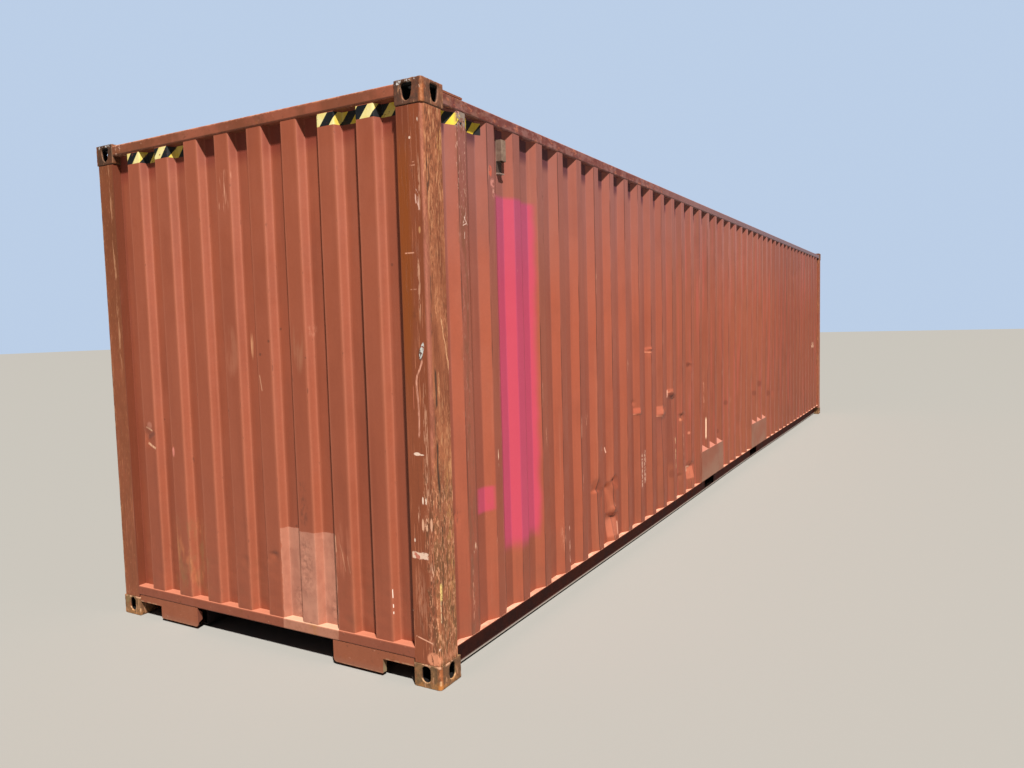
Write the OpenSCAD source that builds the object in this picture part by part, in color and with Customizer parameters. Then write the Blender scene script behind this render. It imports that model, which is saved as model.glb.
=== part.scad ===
// Forty foot high cube freight container of corrugated steel.
// Frame: origin at the bottom centre, +Z up, +X towards the door end,
// -X is the plain front end over the gooseneck tunnel, -Y is the left side.

/* [Overall] */
// Length over the corner castings
length = 12192; // [12100:1:12300]
// Width over the corner castings
width = 2438; // [2430:1:2446]
// Height over the corner castings
height = 2896; // [2800:1:2900]

/* [Corner castings] */
// Length of a casting, along X
cast_l = 178; // [170:1:186]
// Width of a casting, along Y
cast_w = 162; // [156:1:168]
// Height of a casting
cast_h = 118; // [116:1:122]
// Thickness of a casting's outer walls
cast_wall = 16; // [12:1:20]
// Thickness of the face that has the twistlock slot
cast_face = 28.5; // [24:0.5:30]
// Radius of the ends of a twistlock slot
slot_r = 31.75; // [31:0.05:32.5]
// Length of a twistlock slot, along X
slot_len = 124; // [120:0.5:126]
// Slot centre from the end of the container
slot_dx = 103.5; // [101:0.5:105]
// Slot centre from the side of the container
slot_dy = 89.5; // [88:0.5:91]

/* [Corner posts] */
// Width of a front post's two faces
post_w = 150; // [140:1:156]
// Width of a rear post's side face
rear_post_w = 174; // [170:1:190]
// Thickness of the pressed posts
post_t = 6; // [5:0.5:8]
// Length of the posts' returns at the walls
post_ret = 46; // [40:1:50]
// Bend radius of the front posts' corner
post_r = 22; // [15:1:30]
// How far the posts stand behind the casting faces
post_in = 4; // [3:0.5:6]

/* [Side walls] */
// Width of a side crest
side_crest = 72; // [68:1:74]
// Width of a side slope
side_slope = 68; // [66:1:70]
// Pitch of the side corrugation
side_pitch = 278; // [277:0.5:279]
// Depth of the side corrugation
side_depth = 36; // [34:0.5:38]
// Crests in a side wall
side_n = 42; // [42:1:42]
// Centre of the first crest from the front end
side_first = 335; // [330:1:338]
// Thickness of the wall sheets
sheet_t = 2; // [1.6:0.1:2.4]

/* [Front wall] */
// Width of a front crest
end_crest = 110; // [108:1:112]
// Width of a front slope
end_slope = 18; // [17:0.5:20]
// Pitch of the front corrugation
end_pitch = 250; // [248:0.5:252]
// Depth of the front corrugation
end_depth = 45.6; // [44:0.2:46]
// Crests in the front wall
end_n = 8; // [8:1:8]

/* [Rails] */
// Size of the square top rails and the front sill
rail = 60; // [58:1:60]
// Wall of the square rails
rail_t = 3; // [3:0.5:4]
// Outer corner radius of the square rails
rail_r = 9; // [6:1:12]
// Inner end of the plates under the front sill, from the middle
plate_in = 530; // [518:1:540]
// Outer end of the plates under the front sill, from the middle
plate_out = 860; // [850:1:870]
// Underside of the top side rails
top_rail_z = 2803; // [2800:1:2806]
// Underside of the front top rail
front_rail_z = 2823; // [2820:1:2826]
// Underside of the front sill
sill_z = 132.5; // [130:0.5:133]
// Top of the bottom side rails
bot_rail_z = 168; // [166:1:169]
// Underside of the bottom side rails
bot_rail_low = 17.5; // [14:0.5:20]
// Thickness of the bottom side rails
bot_rail_t = 4.5; // [4:0.5:5]
// Distance of the bottom side rails' web behind the casting faces
web_in = 80; // [76:1:84]

/* [Underframe] */
// Width of a fork pocket
pocket_w = 360; // [355:1:370]
// Distance of a fork pocket's centre from the middle
pocket_x = 1040; // [1030:1:1045]
// Height of the top of the fork pockets
pocket_top = 135; // [130:1:136]
// Height of the bottom of the fork pockets
pocket_low = 30; // [26:1:32]
// Thickness of the floor boards
floor_t = 28; // [26:1:28]
// Width of the gooseneck tunnel
tunnel_w = 1029; // [1024:1:1032]
// Length of the gooseneck tunnel
tunnel_l = 3315; // [3300:1:3330]
// Height of the gooseneck tunnel
tunnel_h = 120; // [118:0.5:121]

/* [Doors] */
// Rear face of the rear frame
frame_x = 6056; // [6054:1:6058]
// Outer face of the door leaves
leaf_x = 6046; // [6044:1:6048]
// Thickness of the door leaves
leaf_t = 50; // [46:1:52]
// Diameter of the lock rods
rod_d = 34; // [32:1:36]
// Distance of the inner lock rods from the middle
rod_y1 = 285; // [280:1:290]
// Distance of the outer lock rods from the middle
rod_y2 = 865; // [860:1:870]

/* [Hidden] */
$fn = 48;
hx = length / 2;
hy = width / 2;
steel = "firebrick";
cast_c = "saddlebrown";
dark = "#3a2622";

// planes
crest_y = hy - 8;                    // outer face of the side crests
crest_x = hx - 8;                    // outer face of the front crests
web_y = hy - web_in;                 // outer face of the bottom rails' web
post_edge_y = hy - post_in - post_w; // inner edge of a front post's end face
post_edge_x = hx - post_in - post_w; // inner edge of a front post's side face
rear_edge_x = frame_x - rear_post_w; // front edge of a rear post's side face
top_rail_top = top_rail_z + rail;
wall_y0 = hy - 8 - side_depth - sheet_t; // inside of the side walls
cargo_z = bot_rail_z;
open_y = 1166;                       // half width of the door opening
open_z0 = 165;
open_z1 = 2758;

// one quarter of the container mirrored about X and Y
module mx(s) { if (s < 0) children(); else mirror([1, 0, 0]) children(); }
module my(s) { if (s < 0) children(); else mirror([0, 1, 0]) children(); }

// ---------- corrugated outline, crest line at 0, flats at d, from a to b
function corr(a, b, first, n, c, s, p, d, t) =
    let (k = t * tan(atan2(d, s) / 2))
    concat(
        [[a, d]],
        [for (i = [0:n - 1]) let (m = first + i * p) each
            [[m - c / 2 - s, d], [m - c / 2, 0], [m + c / 2, 0], [m + c / 2 + s, d]]],
        [[b, d], [b, d + t]],
        [for (i = [n - 1:-1:0]) let (m = first + i * p) each
            [[m + c / 2 + s - k, d + t], [m + c / 2 - k, t], [m - c / 2 + k, t], [m - c / 2 - s + k, d + t]]],
        [[a, d + t]]);

// ---------- corner castings, drawn at the front left, outer corner at 0,0
module slot_hole(h) {
    translate([slot_dx - slot_len / 2 + slot_r, slot_dy, 0]) cylinder(r = slot_r, h = h);
    translate([slot_dx + slot_len / 2 - slot_r, slot_dy, 0]) cylinder(r = slot_r, h = h);
    translate([slot_dx - slot_len / 2 + slot_r, slot_dy - slot_r, 0])
        cube([slot_len - 2 * slot_r, 2 * slot_r, h]);
}
// outline of a lower casting's side hole, upright, 51 wide and 79.5 high
module lower_hole() {
    translate([0, 67 + 14.25]) circle(r = 25.5);
    translate([0, 67 - 14.25]) circle(r = 25.5);
    translate([-25.5, 67 - 14.25]) square([51, 28.5]);
}
// outline of an upper casting's side hole, wide above and narrow below
module upper_hole() {
    hull() {
        translate([0, 42.5]) circle(r = 23);
        for (s = [-1, 1]) translate([s * 17.75, 85.5]) circle(r = 14);
    }
}
module casting_body(top) {
    difference() {
        linear_extrude(cast_h) difference() {
            square([cast_l, cast_w]);
            difference() { square([14.5, 14.5]); translate([14.5, 14.5]) circle(r = 14.5); }
        }
        translate([cast_wall, cast_wall, top ? cast_wall : cast_face])
            cube([cast_l - 2 * cast_wall, cast_w - 2 * cast_wall, cast_h - cast_wall - cast_face]);
        translate([0, 0, top ? cast_h - cast_face - 1 : -1]) slot_hole(cast_face + 2);
        // hole in the end face
        translate([-1, slot_dy - 0.5, 0]) rotate([90, 0, 90]) linear_extrude(cast_wall + 2)
            if (top) upper_hole(); else lower_hole();
        // hole in the side face
        translate([slot_dx - 2, cast_wall + 1, 0]) rotate([90, 0, 0]) linear_extrude(cast_wall + 2)
            if (top) upper_hole(); else lower_hole();
    }
}
module casting(sx, sy, top) {
    color(cast_c) mx(sx) my(sy)
        translate([-hx, -hy, top ? height - cast_h : 0]) casting_body(top);
}
module casting_front_left_bottom() { casting(-1, -1, false); }
module casting_front_right_bottom() { casting(-1, 1, false); }
module casting_front_left_top() { casting(-1, -1, true); }
module casting_front_right_top() { casting(-1, 1, true); }
module casting_rear_left_bottom() { casting(1, -1, false); }
module casting_rear_right_bottom() { casting(1, 1, false); }
module casting_rear_left_top() { casting(1, -1, true); }
module casting_rear_right_top() { casting(1, 1, true); }

// ---------- corner posts
module front_post_2d() {
    difference() {
        union() {
            square([post_w, post_t]);
            square([post_t, post_w]);
            translate([post_w - post_t, 0]) square([post_t, post_ret]);
            translate([0, post_w - post_t]) square([post_ret + 3, post_t]);
            difference() { square([post_r, post_r]); translate([post_r, post_r]) circle(r = post_r - post_t); }
        }
        difference() { square([post_r, post_r]); translate([post_r, post_r]) circle(r = post_r); }
    }
}
module front_post(sy) {
    color(steel) my(sy) translate([-hx + post_in, -hy + post_in, cast_h])
        linear_extrude(height - 2 * cast_h) front_post_2d();
}
module post_front_left() { front_post(-1); }
module post_front_right() { front_post(1); }
// rear post: pressed outer section with a heavy inner channel, drawn at the left
module rear_post(sy) {
    w = hy - post_in - open_y;
    color(steel) my(sy) translate([frame_x, -hy + post_in, cast_h])
        linear_extrude(height - 2 * cast_h) {
            translate([-rear_post_w, 0]) square([rear_post_w, post_t]);
            translate([-post_t, 0]) square([post_t, w]);
            translate([-rear_post_w, 0]) square([post_t, post_ret - 4]);
            translate([-post_t - 113, w - 12]) square([113, 12]);
            translate([-post_t - 12, w - 40]) square([12, 40]);
            translate([-post_t - 113, w - 40]) square([12, 40]);
        }
}
module post_rear_left() { rear_post(-1); }
module post_rear_right() { rear_post(1); }

// ---------- front frame
// section of a square tube with rounded corners, its corner at 0,0
module tube_2d() {
    difference() {
        translate([rail_r, rail_r]) offset(r = rail_r) square(rail - 2 * rail_r);
        translate([rail_r, rail_r]) offset(r = rail_r - rail_t) square(rail - 2 * rail_r);
    }
}
// square tube along Y
module tube_y(x, z, l) {
    translate([x, l / 2, z]) rotate([90, 0, 0]) linear_extrude(l) tube_2d();
}
module front_top_rail() { color(steel) tube_y(-hx + 3, front_rail_z, 2 * (hy - cast_w)); }
module front_sill() { color(steel) tube_y(-hx + 3, sill_z, 2 * post_edge_y); }
// plates under the sill beside the gooseneck tunnel
module front_sill_plates() {
    color(steel) for (s = [-1, 1]) my(s) {
        translate([-hx + 6, 0, 0]) rotate([90, 0, 90]) linear_extrude(5) {
            translate([-post_edge_y + 9, 92]) square([post_edge_y - 9 - plate_in, sill_z - 92]);
            hull() {
                translate([-plate_out, 92]) square([plate_out - plate_in, 8]);
                translate([-plate_in - 20, 36.7]) circle(r = 20);
                translate([-plate_out + 6, 22.7]) circle(r = 6);
            }
        }
        // flanges folded back below and at both ends
        translate([-hx + 10, -plate_out + 4, 16.7]) cube([22, plate_out - plate_in - 24, 5]);
        translate([-hx + 10, -plate_out + 5, 0]) rotate([90, 0, 0]) linear_extrude(5)
            polygon([[0, 22], [22, 19], [28, 92], [28, 100], [0, 122]]);
        translate([-hx + 10, -plate_in, 0]) rotate([90, 0, 0]) linear_extrude(5)
            polygon([[0, 40], [28, 56], [28, 100], [0, 122]]);
    }
}
module front_end_wall() {
    a = -post_edge_y; b = post_edge_y;
    color(steel) difference() {
        translate([-crest_x, 0, sill_z + rail]) linear_extrude(front_rail_z - sill_z - rail)
            mirror([1, -1, 0]) polygon(corr(a, b, -(end_n - 1) / 2 * end_pitch, end_n,
                end_crest, end_slope, end_pitch, end_depth, sheet_t));
        // notches for the castings
        for (s = [-1, 1]) translate([-hx, s < 0 ? -hy : hy - cast_w, height - cast_h]) cube([cast_l, cast_w, cast_h]);
    }
}

// ---------- side frame
module top_rail(sy) {
    color(steel) my(sy) translate([-hx + cast_l, -hy + 5, top_rail_z]) rotate([90, 0, 90])
        linear_extrude(length - 2 * cast_l) tube_2d();
}
module left_top_rail() { top_rail(-1); }
module right_top_rail() { top_rail(1); }

// section of the bottom rail: flange out under the wall, web, flange inwards
module rail_section(x0, x1, low) {
    translate([x0, -crest_y - 1, bot_rail_z - bot_rail_t]) cube([x1 - x0, crest_y + 1 - web_y + bot_rail_t, bot_rail_t]);
    translate([x0, -web_y, low]) cube([x1 - x0, bot_rail_t, bot_rail_z - low]);
}
module bottom_rail(sy) {
    x0 = -hx + cast_l; x1 = hx - cast_l;
    color(dark) my(sy) difference() {
        union() {
            rail_section(-post_edge_x, x0 + 1, cast_h);
            rail_section(x0, rear_edge_x, bot_rail_low);
            translate([rear_edge_x - 1, -web_y, bot_rail_low]) cube([x1 - rear_edge_x + 1, bot_rail_t, cast_h - bot_rail_low]);
            translate([x0, -web_y, bot_rail_low]) cube([x1 - x0, 50, bot_rail_t]);
        }
        // mouths of the fork pockets, with a strap left below
        for (s = [-1, 1]) translate([s * pocket_x - pocket_w / 2, -web_y - 10, pocket_low])
            cube([pocket_w, 40, pocket_top - pocket_low]);
    }
}
module left_bottom_rail() { bottom_rail(-1); }
module right_bottom_rail() { bottom_rail(1); }

module side_wall(sy) {
    color(steel) my(sy) difference() {
        translate([0, -crest_y, bot_rail_z]) linear_extrude(top_rail_z - bot_rail_z)
            polygon(corr(-post_edge_x, rear_edge_x, -hx + side_first, side_n,
                side_crest, side_slope, side_pitch, side_depth, sheet_t));
        // notch under the rail where the casting reaches past the post
        translate([-hx, -hy, height - cast_h]) cube([cast_l, cast_w, cast_h]);
    }
}
module left_side_wall() { side_wall(-1); }
module right_side_wall() { side_wall(1); }

// flat pads over three recesses of the wall above each fork pocket
pad_z = 462;
module fork_pad(i) {
    m = -hx + side_first + i * side_pitch;     // centre of the crest that it starts on
    w = 3 * side_pitch;
    r = side_pitch - side_crest;               // mouth of a recess
    translate([m, -crest_y - 4, bot_rail_z]) cube([w, 4, pad_z - bot_rail_z]);
    for (k = [0:2]) intersection() {
        translate([m + side_crest / 2 + k * side_pitch, -crest_y - 4, pad_z - 60]) linear_extrude(120)
            polygon([[0, 0], [r, 0], [r, 4], [r - side_slope, 4 + side_depth], [side_slope, 4 + side_depth], [0, 4]]);
        translate([m, -crest_y - 4, pad_z]) rotate([90, 0, 90]) linear_extrude(w)
            polygon([[0, 0], [40, 45], [40, 39], [3, -3], [0, -3]]);
    }
}
module fork_pads(sy) {
    color("sienna") my(sy) { fork_pad(15); fork_pad(23); }
}
module left_fork_pads() { fork_pads(-1); }
module right_fork_pads() { fork_pads(1); }

// small louvred ventilator, one at the front left and one at the rear right
module ventilator(i) {
    m = -hx + side_first + (i + 0.5) * side_pitch;
    // back plate
    translate([m - 27, -crest_y + side_depth - 4, 2566]) cube([54, 4, 184]);
    // hood, open below
    difference() {
        translate([m - 25, -crest_y + 2, 2634]) cube([50, side_depth - 3, 113]);
        translate([m - 22, -crest_y + 5, 2633]) cube([44, side_depth - 9, 111]);
    }
    // sloping inner louvre and the lip below
    translate([m - 22.5, 0, 0]) rotate([90, 0, 90]) linear_extrude(45)
        polygon([[-crest_y + side_depth - 3, 2690], [-crest_y + side_depth - 3, 2686], [-crest_y + 12, 2646], [-crest_y + 12, 2650]]);
    translate([m - 24, -crest_y + 14, 2567]) cube([48, side_depth - 17, 5]);
}
module ventilators() {
    color("tan") { ventilator(1); mirror([0, 1, 0]) ventilator(39); }
}

// ---------- roof
roof_y = 1196;
roof_t = 2;
module roof_panel() {
    n = 55; p = 209; c = 91; s = 13.5; d = 20;
    first = -(n - 1) / 2 * p + 2;
    e0 = -hx + rail + 3; e1 = frame_x - 105;
    pts = corr(e0, e1, first, n, c, s, p, -d, -roof_t);
    color(steel) difference() {
        union() {
            // corrugated field, crests upwards
            translate([0, roof_y - 22, top_rail_top + roof_t]) rotate([90, 0, 0]) linear_extrude(2 * (roof_y - 22))
                polygon(concat([for (q = pts) [q[0], q[1] + d]]));
            // closed ends of the corrugation
            for (m = [-1, 1]) translate([0, m * (roof_y - 23) + 1, top_rail_top]) rotate([90, 0, 0]) linear_extrude(2)
                polygon(concat([[e0, 0]], [[e0, roof_t]],
                    [for (i = [0:n - 1]) let (q = first + i * p) each
                        [[q - c / 2 - s, roof_t], [q - c / 2, roof_t + d], [q + c / 2, roof_t + d], [q + c / 2 + s, roof_t]]],
                    [[e1, roof_t], [e1, 0]]));
            // flat borders
            for (m = [-1, 1]) translate([e0, m < 0 ? -roof_y : roof_y - 22, top_rail_top]) cube([e1 - e0, 22, roof_t]);
        }
        // room for the corner castings
        for (m = [-1, 1]) for (k = [-1, 1])
            translate([k < 0 ? -hx - 1 : hx - cast_l, m < 0 ? -hy : hy - cast_w, height - cast_h - 1]) cube([cast_l + 1, cast_w, cast_h + 2]);
    }
}
// flat reinforcing plates beside the castings, on the side rails
module roof_corner_plates() {
    color(steel) for (m = [-1, 1]) for (k = [-1, 1]) mx(k) my(m)
        translate([-hx + cast_l, -hy + 6, top_rail_top]) cube([170, hy - 6 - roof_y, 10]);
}

// ---------- rear frame
cast_edge_y = hy - cast_w;
module door_header() {
    z1 = height - cast_h;
    color(steel) difference() {
        union() {
            translate([frame_x - 105, -cast_edge_y, z1 - 1]) cube([105, 2 * cast_edge_y, open_z1 + 124 - z1 + 1]);
            translate([frame_x - 105, -open_y, open_z1]) cube([105, 2 * open_y, z1 - open_z1]);
        }
        translate([frame_x - 101, -cast_edge_y + 4, open_z1 + 4]) cube([97, 2 * cast_edge_y - 8, 116]);
    }
}
module door_sill() {
    color(steel) difference() {
        union() {
            translate([frame_x - 100, -cast_edge_y, 20]) cube([100, 2 * cast_edge_y, open_z0 - 20]);
            translate([frame_x - 100, -open_y, cast_h]) cube([100, 2 * open_y, open_z0 - cast_h]);
        }
        translate([frame_x - 96, -cast_edge_y + 4, 24]) cube([92, 2 * cast_edge_y - 8, open_z0 - 30]);
    }
}

// ---------- doors, drawn at the left
leaf_y0 = 6; leaf_y1 = 1158;
leaf_z0 = 173; leaf_z1 = 2750;
stile = 100; trans = 140;
module door_frame(sy) {
    color(steel) my(sy) difference() {
        translate([leaf_x - leaf_t, -leaf_y1, leaf_z0]) cube([leaf_t, leaf_y1 - leaf_y0, leaf_z1 - leaf_z0]);
        translate([leaf_x - leaf_t - 1, -leaf_y1 + stile, leaf_z0 + trans])
            cube([leaf_t + 2, leaf_y1 - leaf_y0 - 2 * stile, leaf_z1 - leaf_z0 - 2 * trans]);
        // hollow stiles and cross rails
        for (a = [-leaf_y1, -leaf_y0 - stile]) translate([leaf_x - leaf_t + 3, a + 3, leaf_z0 + 3])
            cube([leaf_t - 6, stile - 6, leaf_z1 - leaf_z0 - 6]);
        for (b = [leaf_z0, leaf_z1 - trans]) translate([leaf_x - leaf_t + 3, -leaf_y1 + 3, b + 3])
            cube([leaf_t - 6, leaf_y1 - leaf_y0 - 6, trans - 6]);
    }
}
module left_door_frame() { door_frame(-1); }
module right_door_frame() { door_frame(1); }
module door_panel(sy) {
    a = -leaf_y1 + stile; b = -leaf_y0 - stile;
    color(steel) my(sy) translate([leaf_x - 4, 0, leaf_z0 + trans]) linear_extrude(leaf_z1 - leaf_z0 - 2 * trans)
        mirror([1, 0, 0]) mirror([1, -1, 0])
        polygon(corr(a, b, (a + b) / 2 - side_pitch, 3, side_crest, side_slope, side_pitch, side_depth, sheet_t));
}
module left_door_panel() { door_panel(-1); }
module right_door_panel() { door_panel(1); }
module door_gaskets() {
    color("#202020") translate([leaf_x - 42, 0, 0]) difference() {
        translate([0, -open_y, open_z0]) cube([40, 2 * open_y, open_z1 - open_z0]);
        for (s = [-1, 1]) my(s) translate([-1, -leaf_y1, leaf_z0]) cube([42, leaf_y1 - leaf_y0, leaf_z1 - leaf_z0]);
    }
}
rod_x = leaf_x + 28;
rods = [-rod_y2, -rod_y1, rod_y1, rod_y2];
module lock_rods() {
    color("silver") for (y = rods) translate([rod_x, y, 0]) {
        translate([0, 0, 100]) cylinder(d = rod_d, h = 2714);
        for (z = [104, 2786]) translate([-8, 0, z]) cube([16, 38, 24]);
    }
}
module rod_brackets() {
    color("silver") for (y = rods) for (z = [330, 860, 1700, 2560]) difference() {
        union() {
            translate([leaf_x - 4, y - 45, z]) cube([8, 90, 40]);
            translate([rod_x, y, z]) cylinder(d = rod_d + 10, h = 40);
            translate([leaf_x, y - rod_d / 2 - 5, z]) cube([28, rod_d + 10, 40]);
        }
        translate([rod_x, y, z - 1]) cylinder(d = rod_d, h = 42);
        translate([leaf_x - 10, y - 100, z - 1]) cube([10, 200, 42]);
    }
}
module cam_keepers() {
    color("silver") for (y = rods) for (z = [[92, 48], [2774, 48]]) translate([frame_x, y, z[0]]) {
        translate([0, 42, 0]) cube([30, 10, z[1]]);
        translate([0, -32, 0]) cube([30, 10, z[1]]);
    }
}
// flat swing handles on the rods
module door_handles() {
    color("silver") for (k = [0:3]) {
        y = rods[k]; d = (k == 0 || k == 2) ? 1 : -1;
        z = (k == 0 || k == 3) ? 1120 : 1240;
        difference() {
            union() {
                translate([rod_x, y, z - 15]) cylinder(d = rod_d + 9, h = 70);
                translate([rod_x + 6, d > 0 ? y : y - 470, z]) cube([9, 470, 40]);
            }
            translate([rod_x, y, z - 16]) cylinder(d = rod_d, h = 72);
        }
        translate([leaf_x, y + d * 400 - 20, z - 6]) cube([30, 40, 5]);
    }
}
module door_hinges() {
    color(steel) for (s = [-1, 1]) for (z = [330, 1010, 1830, 2510]) my(s) translate([0, 0, z]) {
        translate([leaf_x, -leaf_y1 + 2, 0]) cube([8, 110, 70]);
        difference() {
            union() {
                translate([leaf_x + 4, -1190, 0]) cube([24, 40, 70]);
                translate([leaf_x + 24, -1190, 0]) cylinder(d = 30, h = 70);
                translate([frame_x, -1205, -30]) cube([14, 30, 30]);
                translate([frame_x, -1205, 70]) cube([14, 30, 30]);
                translate([leaf_x + 24, -1190, -30]) cylinder(d = 30, h = 30);
                translate([leaf_x + 24, -1190, 70]) cylinder(d = 30, h = 30);
            }
            translate([frame_x - 20, -hy + post_in - 1, -31]) cube([20, hy - post_in + 1 - open_y, 132]);
        }
    }
}

// ---------- floor and underframe
module floor_boards() {
    x0 = -hx + 3 + rail;
    color("peru") for (k = [0:3]) {
        w = (2 * (web_y - bot_rail_t) - 3) / 4;
        translate([x0, -(web_y - bot_rail_t) + k * (w + 1), bot_rail_z - floor_t])
            cube([frame_x - 100 - x0, w, floor_t]);
    }
}
// pressed channel along Y from y0 to y1, web at x
module cross_channel(x, y0, y1) {
    z0 = bot_rail_low + 1; z1 = bot_rail_z - floor_t;
    translate([x, y1, 0]) rotate([90, 0, 0]) linear_extrude(y1 - y0)
        polygon([[0, z0], [40, z0], [40, z0 + 4], [4, z0 + 4], [4, z1 - 4], [45, z1 - 4], [45, z1], [0, z1]]);
}
tunnel_x = -hx + tunnel_l;
inner_y = web_y - 50;
module floor_crossmembers() {
    yw = web_y - bot_rail_t - 0.5;
    color(dark) {
        // behind the tunnel, clear of the fork pockets
        for (i = [0:29]) {
            x = tunnel_x + 40 + i * 290;
            if (abs(abs(x + 20) - pocket_x) > pocket_w / 2 + 45) cross_channel(x, -web_y + 50.5, web_y - 50.5);
        }
        // beside the tunnel
        for (i = [0:9]) for (s = [-1, 1]) my(s)
            cross_channel(-hx + 330 + i * 300, -web_y + 50.5, -tunnel_w / 2 - 48);
    }
}
module gooseneck_tunnel() {
    z1 = bot_rail_z - floor_t;
    x0 = -hx + 3 + rail + 0.5; l = tunnel_x - x0;
    color(dark) {
        translate([x0, -tunnel_w / 2 - 4, tunnel_h]) cube([l, tunnel_w + 8, 4]);
        for (s = [-1, 1]) my(s) {
            translate([x0, -tunnel_w / 2 - 4, bot_rail_low]) cube([l, 4, tunnel_h - bot_rail_low]);
            translate([x0, -tunnel_w / 2 - 45, bot_rail_low]) cube([l, 45, 4]);
        }
        // cross plate at the inner end, and shallow bows under the boards
        translate([tunnel_x - 4, -tunnel_w / 2, bot_rail_low]) cube([4, tunnel_w, tunnel_h - bot_rail_low]);
        for (i = [0:9]) translate([-hx + 330 + i * 300 - 40, -tunnel_w / 2 - 4, tunnel_h + 4])
            cube([80, tunnel_w + 8, z1 - tunnel_h - 4]);
    }
}
module fork_pockets() {
    yw = web_y - 50.5;
    color(dark) for (s = [-1, 1]) translate([s * pocket_x, 0, 0]) {
        translate([-pocket_w / 2 - 4, -yw, pocket_top]) cube([pocket_w + 8, 2 * yw, 3]);
        for (k = [-1, 1]) translate([k < 0 ? -pocket_w / 2 - 4 : pocket_w / 2, -yw, bot_rail_low]) cube([4, 2 * yw, pocket_top - bot_rail_low]);
        // bottom straps at the two mouths
        for (m = [-1, 1]) translate([-pocket_w / 2, m < 0 ? -yw : yw - 200, bot_rail_low]) cube([pocket_w, 200, 6]);
    }
}

casting_front_left_bottom();
casting_front_right_bottom();
casting_front_left_top();
casting_front_right_top();
casting_rear_left_bottom();
casting_rear_right_bottom();
casting_rear_left_top();
casting_rear_right_top();
post_front_left();
post_front_right();
post_rear_left();
post_rear_right();
front_top_rail();
front_sill();
front_sill_plates();
front_end_wall();
left_top_rail();
right_top_rail();
left_bottom_rail();
right_bottom_rail();
left_side_wall();
right_side_wall();
left_fork_pads();
right_fork_pads();
ventilators();
roof_panel();
roof_corner_plates();
door_header();
door_sill();
left_door_frame();
right_door_frame();
left_door_panel();
right_door_panel();
door_gaskets();
lock_rods();
rod_brackets();
cam_keepers();
door_handles();
door_hinges();
floor_boards();
floor_crossmembers();
gooseneck_tunnel();
fork_pockets();
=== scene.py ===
import bpy, bmesh, math
import numpy as np
from mathutils import Matrix, Vector


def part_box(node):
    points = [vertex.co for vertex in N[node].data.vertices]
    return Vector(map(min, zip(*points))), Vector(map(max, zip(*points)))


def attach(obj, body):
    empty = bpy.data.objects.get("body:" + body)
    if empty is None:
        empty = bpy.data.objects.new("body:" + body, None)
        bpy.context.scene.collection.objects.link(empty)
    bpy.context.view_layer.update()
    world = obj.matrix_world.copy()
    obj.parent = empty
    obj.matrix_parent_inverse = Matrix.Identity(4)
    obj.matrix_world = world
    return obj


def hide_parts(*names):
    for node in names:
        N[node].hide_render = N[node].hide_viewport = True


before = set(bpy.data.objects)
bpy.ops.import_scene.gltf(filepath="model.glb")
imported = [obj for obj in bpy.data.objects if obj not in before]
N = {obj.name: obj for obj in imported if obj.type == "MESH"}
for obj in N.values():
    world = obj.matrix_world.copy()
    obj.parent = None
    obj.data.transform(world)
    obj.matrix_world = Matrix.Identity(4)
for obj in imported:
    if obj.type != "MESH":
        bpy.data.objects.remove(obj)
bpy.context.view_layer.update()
HX, HY, H = 6.096, 1.219, 2.896

# ------------------------------------------------------------------ camera
cam_d = bpy.data.cameras.new("camera")
cam_d.sensor_fit = "HORIZONTAL"
cam_d.sensor_width = 36.0
cam_d.lens = 779.25 / 1024 * 36.0
cam_d.clip_start, cam_d.clip_end = 0.05, 400.0
cam = bpy.data.objects.new("camera", cam_d)
bpy.context.scene.collection.objects.link(cam)
right = Vector((0.49319137, -0.86953527, -0.02589771))
down = Vector((-0.07785948, -0.01447124, -0.99685931))
fwd = Vector((0.86642955, 0.49365879, -0.07483866))
turn = 0.8 / 779.25
right, fwd = right * math.cos(turn) - fwd * math.sin(turn), fwd * math.cos(turn) + right * math.sin(turn)
m = Matrix.Identity(4)
for i in range(3):
    m[i][0], m[i][1], m[i][2] = right[i], -down[i], -fwd[i]
m[0][3], m[1][3], m[2][3] = -9.06505, -3.33990, 1.74969
cam.matrix_world = m
bpy.context.scene.camera = cam


# ------------------------------------------------------------------ colour helpers
def lin(v):
    v /= 255.0
    return v / 12.92 if v <= 0.04045 else ((v + 0.055) / 1.055) ** 2.4


K = 0.80


def rgb(r, g, b):
    return (lin(r) * K, lin(g) * K, lin(b) * K, 1.0)


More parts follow.
